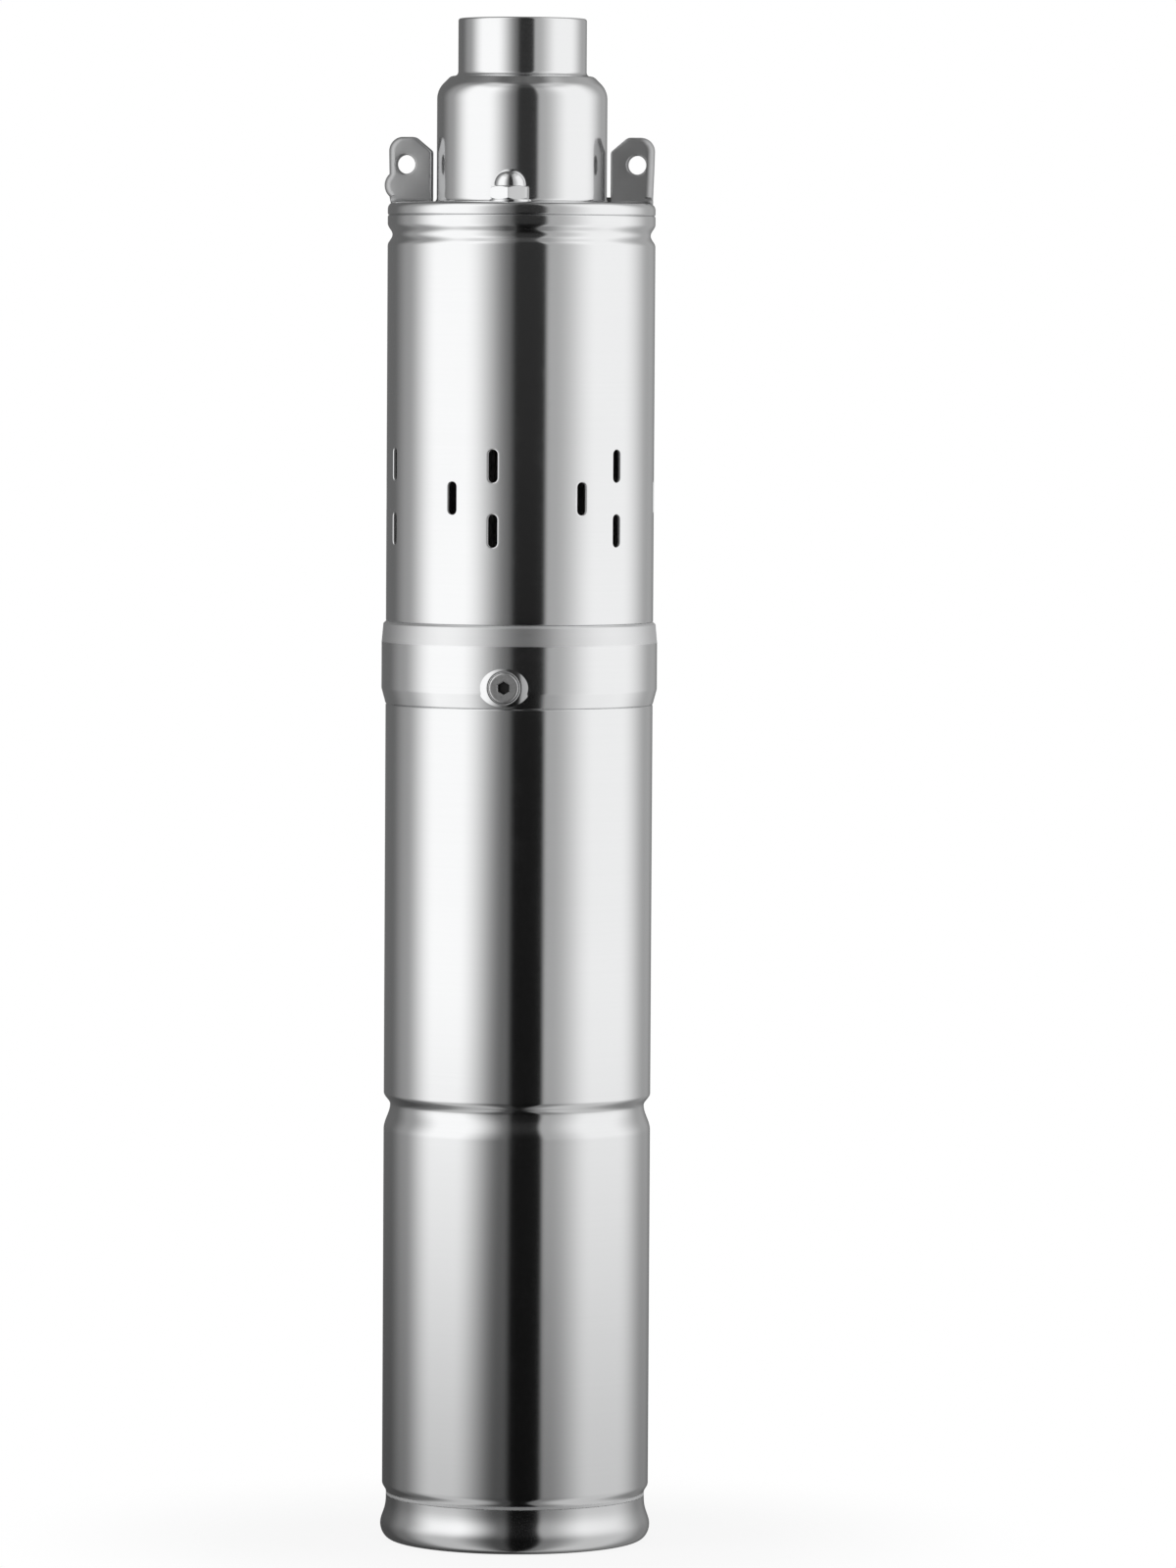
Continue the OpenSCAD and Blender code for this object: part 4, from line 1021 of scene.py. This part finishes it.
black_rubber = moulded_rubber("black_rubber")
grommet_outline = eased([
    (grommet_bore_r, spigot_bottom, 0.2), (grommet_r, spigot_bottom, 0.2), (grommet_r, flange_top, 0),
    (grommet_lip_r, flange_top, 0.2), (grommet_lip_r, flange_top + grommet_lip_h / 2, 0.7),
    (grommet_r, flange_top + grommet_lip_h, 0.7), (grommet_bore_r, flange_top + grommet_lip_h, 0.5),
])
cable_grommet = turned(
    "cable_grommet_moulded", grommet_outline, black_rubber, 96, moved(grommet_place, grommet_place)
)
seat(cable_grommet, "cable_grommet")


# Pieces inside
# What the casing holds keeps its CAD shape: the screw pump, the shaft line with its seal, the motor with its
# bearings and the capacitor. Each takes a finish that suits its material, as it leaves the lathe or mould.
sheet_t = 0.5


def sheet_stack(name):
    """Core steel in thin sheets: the sheets' dark edges up the height, with an uneven varnish over them."""
    material, shader, place = start_finish(name)
    height = place.axes()[2]
    sheets = (height * (2 * math.pi / (sheet_t * MM))).math("SINE") * 0.5 + 0.5
    stain = place.noise((90, 90, 160), 4)
    feed(shader, {
        "Base Color": (sheets * 0.6 + stain * 0.4).tint((0.07, 0.065, 0.062, 1), (0.26, 0.25, 0.245, 1)),
        "Metallic": 1.0,
        "Roughness": stain * 0.25 + 0.35,
        "Normal": (sheets * 0.6 + stain * 0.4).bump(0.3, 0.0003),
    })
    return material


def wound_wire(name):
    """Enamelled copper wire under varnish: round strands side by side, in an amber coat of uneven depth."""
    material, shader, place = start_finish(name)
    x, y, _ = place.axes()
    strands = ((x + y) * 5200).math("SINE") * 0.5 + 0.5
    varnish = place.noise((130, 130, 130), 4)
    feed(shader, {
        "Base Color": (strands * 0.45 + varnish * 0.55).tint((0.2, 0.06, 0.02, 1), (0.62, 0.24, 0.08, 1)),
        "Metallic": 0.6,
        "Roughness": varnish * 0.25 + 0.22,
        "Normal": (strands * 0.7 + varnish * 0.3).bump(0.4, 0.0004),
    })
    return material


def dense_solid(name, low, high, roughness, grain):
    """A fired, pressed or moulded solid: a fine speckle in the colour, the gloss and the face."""
    material, shader, place = start_finish(name)
    speckle = place.noise((grain, grain, grain), 4)
    cloud = place.noise((60, 60, 60), 3)
    feed(shader, {
        "Base Color": (speckle * 0.5 + cloud * 0.5).step(0.3, 0.7).tint(low, high),
        "Roughness": speckle * 0.12 + cloud * 0.1 + (roughness - 0.1),
        "Normal": speckle.bump(0.12, 0.0002),
    })
    return material


finishes = {
    "polished_stainless": turned_stainless,
    "machined_steel": worked_metal("machined_steel", grey(0.42), grey(0.66), 0.3, (14, 14, 2400), 0.2),
    "spring_steel": worked_metal("spring_steel", grey(0.3), grey(0.5), 0.34, (900, 900, 220), 0.15),
    "core_steel": sheet_stack("core_steel_sheets"),
    "cast_iron": worked_metal("cast_iron", grey(0.16), grey(0.3), 0.6, (700, 700, 700), 0.6, metal=0.3),
    "copper": wound_wire("wound_copper"),
    "brass": worked_metal("brass", (0.55, 0.36, 0.12, 1), (0.8, 0.58, 0.26, 1), 0.3, (500, 500, 90), 0.15),
    "rubber": black_rubber,
    "seal_ceramic": dense_solid("seal_ceramic", (0.72, 0.69, 0.6, 1), (0.84, 0.82, 0.75, 1), 0.25, 900),
    "seal_carbon": dense_solid("seal_carbon", grey(0.02), grey(0.06), 0.42, 1200),
    "aluminium": worked_metal("aluminium", grey(0.62), grey(0.8), 0.36, (1300, 1300, 50), 0.18),
    "plastic": dense_solid("moulded_plastic", grey(0.05), grey(0.09), 0.45, 500),
}
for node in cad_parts.values():
    for material_slot in node.material_slots:
        material_slot.material = finishes[material_slot.material.name]


# Studio
# A pale floor under the pump, a white world, two soft lamps and a painted shell that only the metal mirrors.
# The shell stands for the softboxes and the dark gap between them, which give the metal its long stripes.
camera_turn = math.radians(6.3)
shell_r = 0.35
shell_half = 1.0
shell_mid = 0.27
lamp_away = 1.6
lamp_height = 1.1
lamp_target = Vector((0, 0, 0.25))


def stage(name, shell, finish):
    """A part of the studio, which is no part of the pump."""
    mesh = bpy.data.meshes.new(name)
    shell.to_mesh(mesh)
    shell.free()
    prop = show(name, mesh, finish)
    return prop


def start_light(name):
    """A new material that holds only its output, and the place on the prop."""
    material, shader, place = start_finish(name)
    place.tree.nodes.remove(shader)
    return material, place.tree.nodes["Material Output"], place


def mirror_shell():
    """The brightness that the metal mirrors, by turn from the camera in degrees and by height."""
    material, output, place = start_light("mirror_shell")
    x, y, z = place.axes()
    turn = x.math("ARCTAN2", y * -1.0)
    turn = (turn - (camera_turn - math.pi)).math("FLOORED_MODULO", 2 * math.pi) * (180 / math.pi) - 180
    height = z + shell_mid
    dusk = (1 - height.step(-0.08, 0.2)) * (0.52 - turn.step(20, 60) * 0.12)
    dusk = dusk + (1 - height.step(-0.7, -0.35)) * 0.25
    crown = z.step(0.5, 0.66) * 0.4 + z.step(0.72, 0.9) * 0.55
    slant = (1 - height.step(-0.12, 0.45)) * 9.0
    left_box = turn.step(-133, -106) * 0.17 + turn.step(-107, -72) * 0.66 + 0.12
    gap = turn.step(-10, -3) * (0.113 - height.step(0.2, 0.52) * 0.02)
    left_fall = (turn + slant).step(-46, -6.5) * 0.83 + gap
    right_wing = turn.step(18, 22.5) * 0.355 + turn.step(26, 64) * 0.475
    rear = turn.step(92, 134) * 0.51 + turn.step(142, 172) * 0.21
    glow = (left_box - left_fall + right_wing - rear) * (1 - dusk)
    glow = (glow * (1 - crown) + crown * 0.09) / 0.85
    colour = place.node("ShaderNodeCombineColor", None, {0: glow, 1: glow, 2: glow})
    light = colour.node("ShaderNodeEmission", None, {"Color": colour})
    light.tree.links.new(light.socket, output.inputs["Surface"])
    material.cycles.emission_sampling = "NONE"
    return material


globe = bmesh.new()
bmesh.ops.create_uvsphere(globe, u_segments=192, v_segments=96, radius=1)
globe.transform(Matrix.Diagonal((shell_r, shell_r, shell_half, 1)))
surround = stage("mirror_surround", globe, mirror_shell())
surround.location = (0, 0, shell_mid)
surround.visible_camera = False
surround.visible_diffuse = False
surround.visible_shadow = False


def pale_floor():
    """A white floor that takes a faint shadow and fades out at its edge."""
    material, output, place = start_light("pale_floor")
    reach = place.node("ShaderNodeVectorMath", {"operation": "LENGTH"}, {0: place}, output=1)
    grain = place.noise((160, 160, 160), 3)
    paper = grain.tint(grey(0.9), grey(0.93))
    matt = place.node("ShaderNodeBsdfDiffuse", None, {"Color": paper})
    bright = place.node("ShaderNodeEmission", None, {"Color": grey(1.0), "Strength": 1.0})
    soft = place.node("ShaderNodeMixShader", None, {0: 0.14, 1: bright, 2: matt})
    clear = place.node("ShaderNodeBsdfTransparent")
    faded = place.node("ShaderNodeMixShader", None, {0: reach.step(0.07, 0.2), 1: soft, 2: clear})
    faded.tree.links.new(faded.socket, output.inputs["Surface"])
    return material


ground = bmesh.new()
bmesh.ops.create_circle(ground, cap_ends=True, segments=96, radius=0.45)
floor = stage("floor", ground, pale_floor())
floor.visible_glossy = False
floor.visible_diffuse = False

world = bpy.data.worlds.new("studio")
bpy.context.scene.world = world
world.use_nodes = True
sky = Socket(world.node_tree, world.node_tree.nodes.new("ShaderNodeLightPath").outputs["Is Camera Ray"])
seen = sky
for ray in ("Is Glossy Ray", "Is Transmission Ray"):
    seen = seen.math("MAXIMUM", Socket(sky.tree, sky.socket.node.outputs[ray]))
backdrop = world.node_tree.nodes["Background"]
backdrop.inputs["Color"].default_value = grey(1.0)
world.node_tree.links.new((seen * 0.5 + 0.5).socket, backdrop.inputs["Strength"])

for lamp_name, lamp_turn, lamp_power in (("left_softbox", -62, 7.0), ("right_softbox", 84, 6.0)):
    lamp_data = bpy.data.lights.new(lamp_name, "AREA")
    lamp_data.shape = "RECTANGLE"
    lamp_data.size = 0.9
    lamp_data.size_y = 1.5
    lamp_data.energy = lamp_power
    lamp = bpy.data.objects.new(lamp_name, lamp_data)
    bpy.context.scene.collection.objects.link(lamp)
    aim = camera_turn + math.radians(lamp_turn)
    lamp.location = (lamp_away * math.sin(aim), -lamp_away * math.cos(aim), lamp_height)
    lamp.rotation_euler = (lamp_target - lamp.location).to_track_quat("-Z", "Y").to_euler()
    lamp.visible_glossy = False


# Camera
# It stands a little right of the pump's front and just under the flange's height, looks slightly down,
# and leans by a third of a degree, as in the photograph.
camera_away = 3.2
camera_height = 0.4430
camera_pitch = math.radians(3.045)
camera_pan = math.radians(0.4463)
camera_roll = math.radians(0.3325)
focal_pixels = 9088
image_height = 1600
sensor_width = 36

across = Vector((math.cos(camera_turn), math.sin(camera_turn), 0))
level = Vector((-math.sin(camera_turn), math.cos(camera_turn), 0))
ahead = level * math.cos(camera_pitch) - Vector((0, 0, 1)) * math.sin(camera_pitch)
ahead = ahead * math.cos(camera_pan) + across * math.sin(camera_pan)
right = ahead.cross(Vector((0, 0, 1))).normalized()
above = right.cross(ahead)
leaning_right = right * math.cos(camera_roll) + above * math.sin(camera_roll)
leaning_up = above * math.cos(camera_roll) - right * math.sin(camera_roll)

camera_data = bpy.data.cameras.new("camera")
camera_data.sensor_width = sensor_width
camera_data.lens = sensor_width * focal_pixels / image_height
camera = bpy.data.objects.new("camera", camera_data)
bpy.context.scene.collection.objects.link(camera)
turned_axes = Matrix((leaning_right, leaning_up, -ahead)).transposed().to_4x4()
stand = Vector((camera_away * math.sin(camera_turn), -camera_away * math.cos(camera_turn), camera_height))
camera.matrix_world = Matrix.Translation(stand) @ turned_axes
bpy.context.scene.camera = camera
bpy.context.scene.view_settings.view_transform = "Standard"
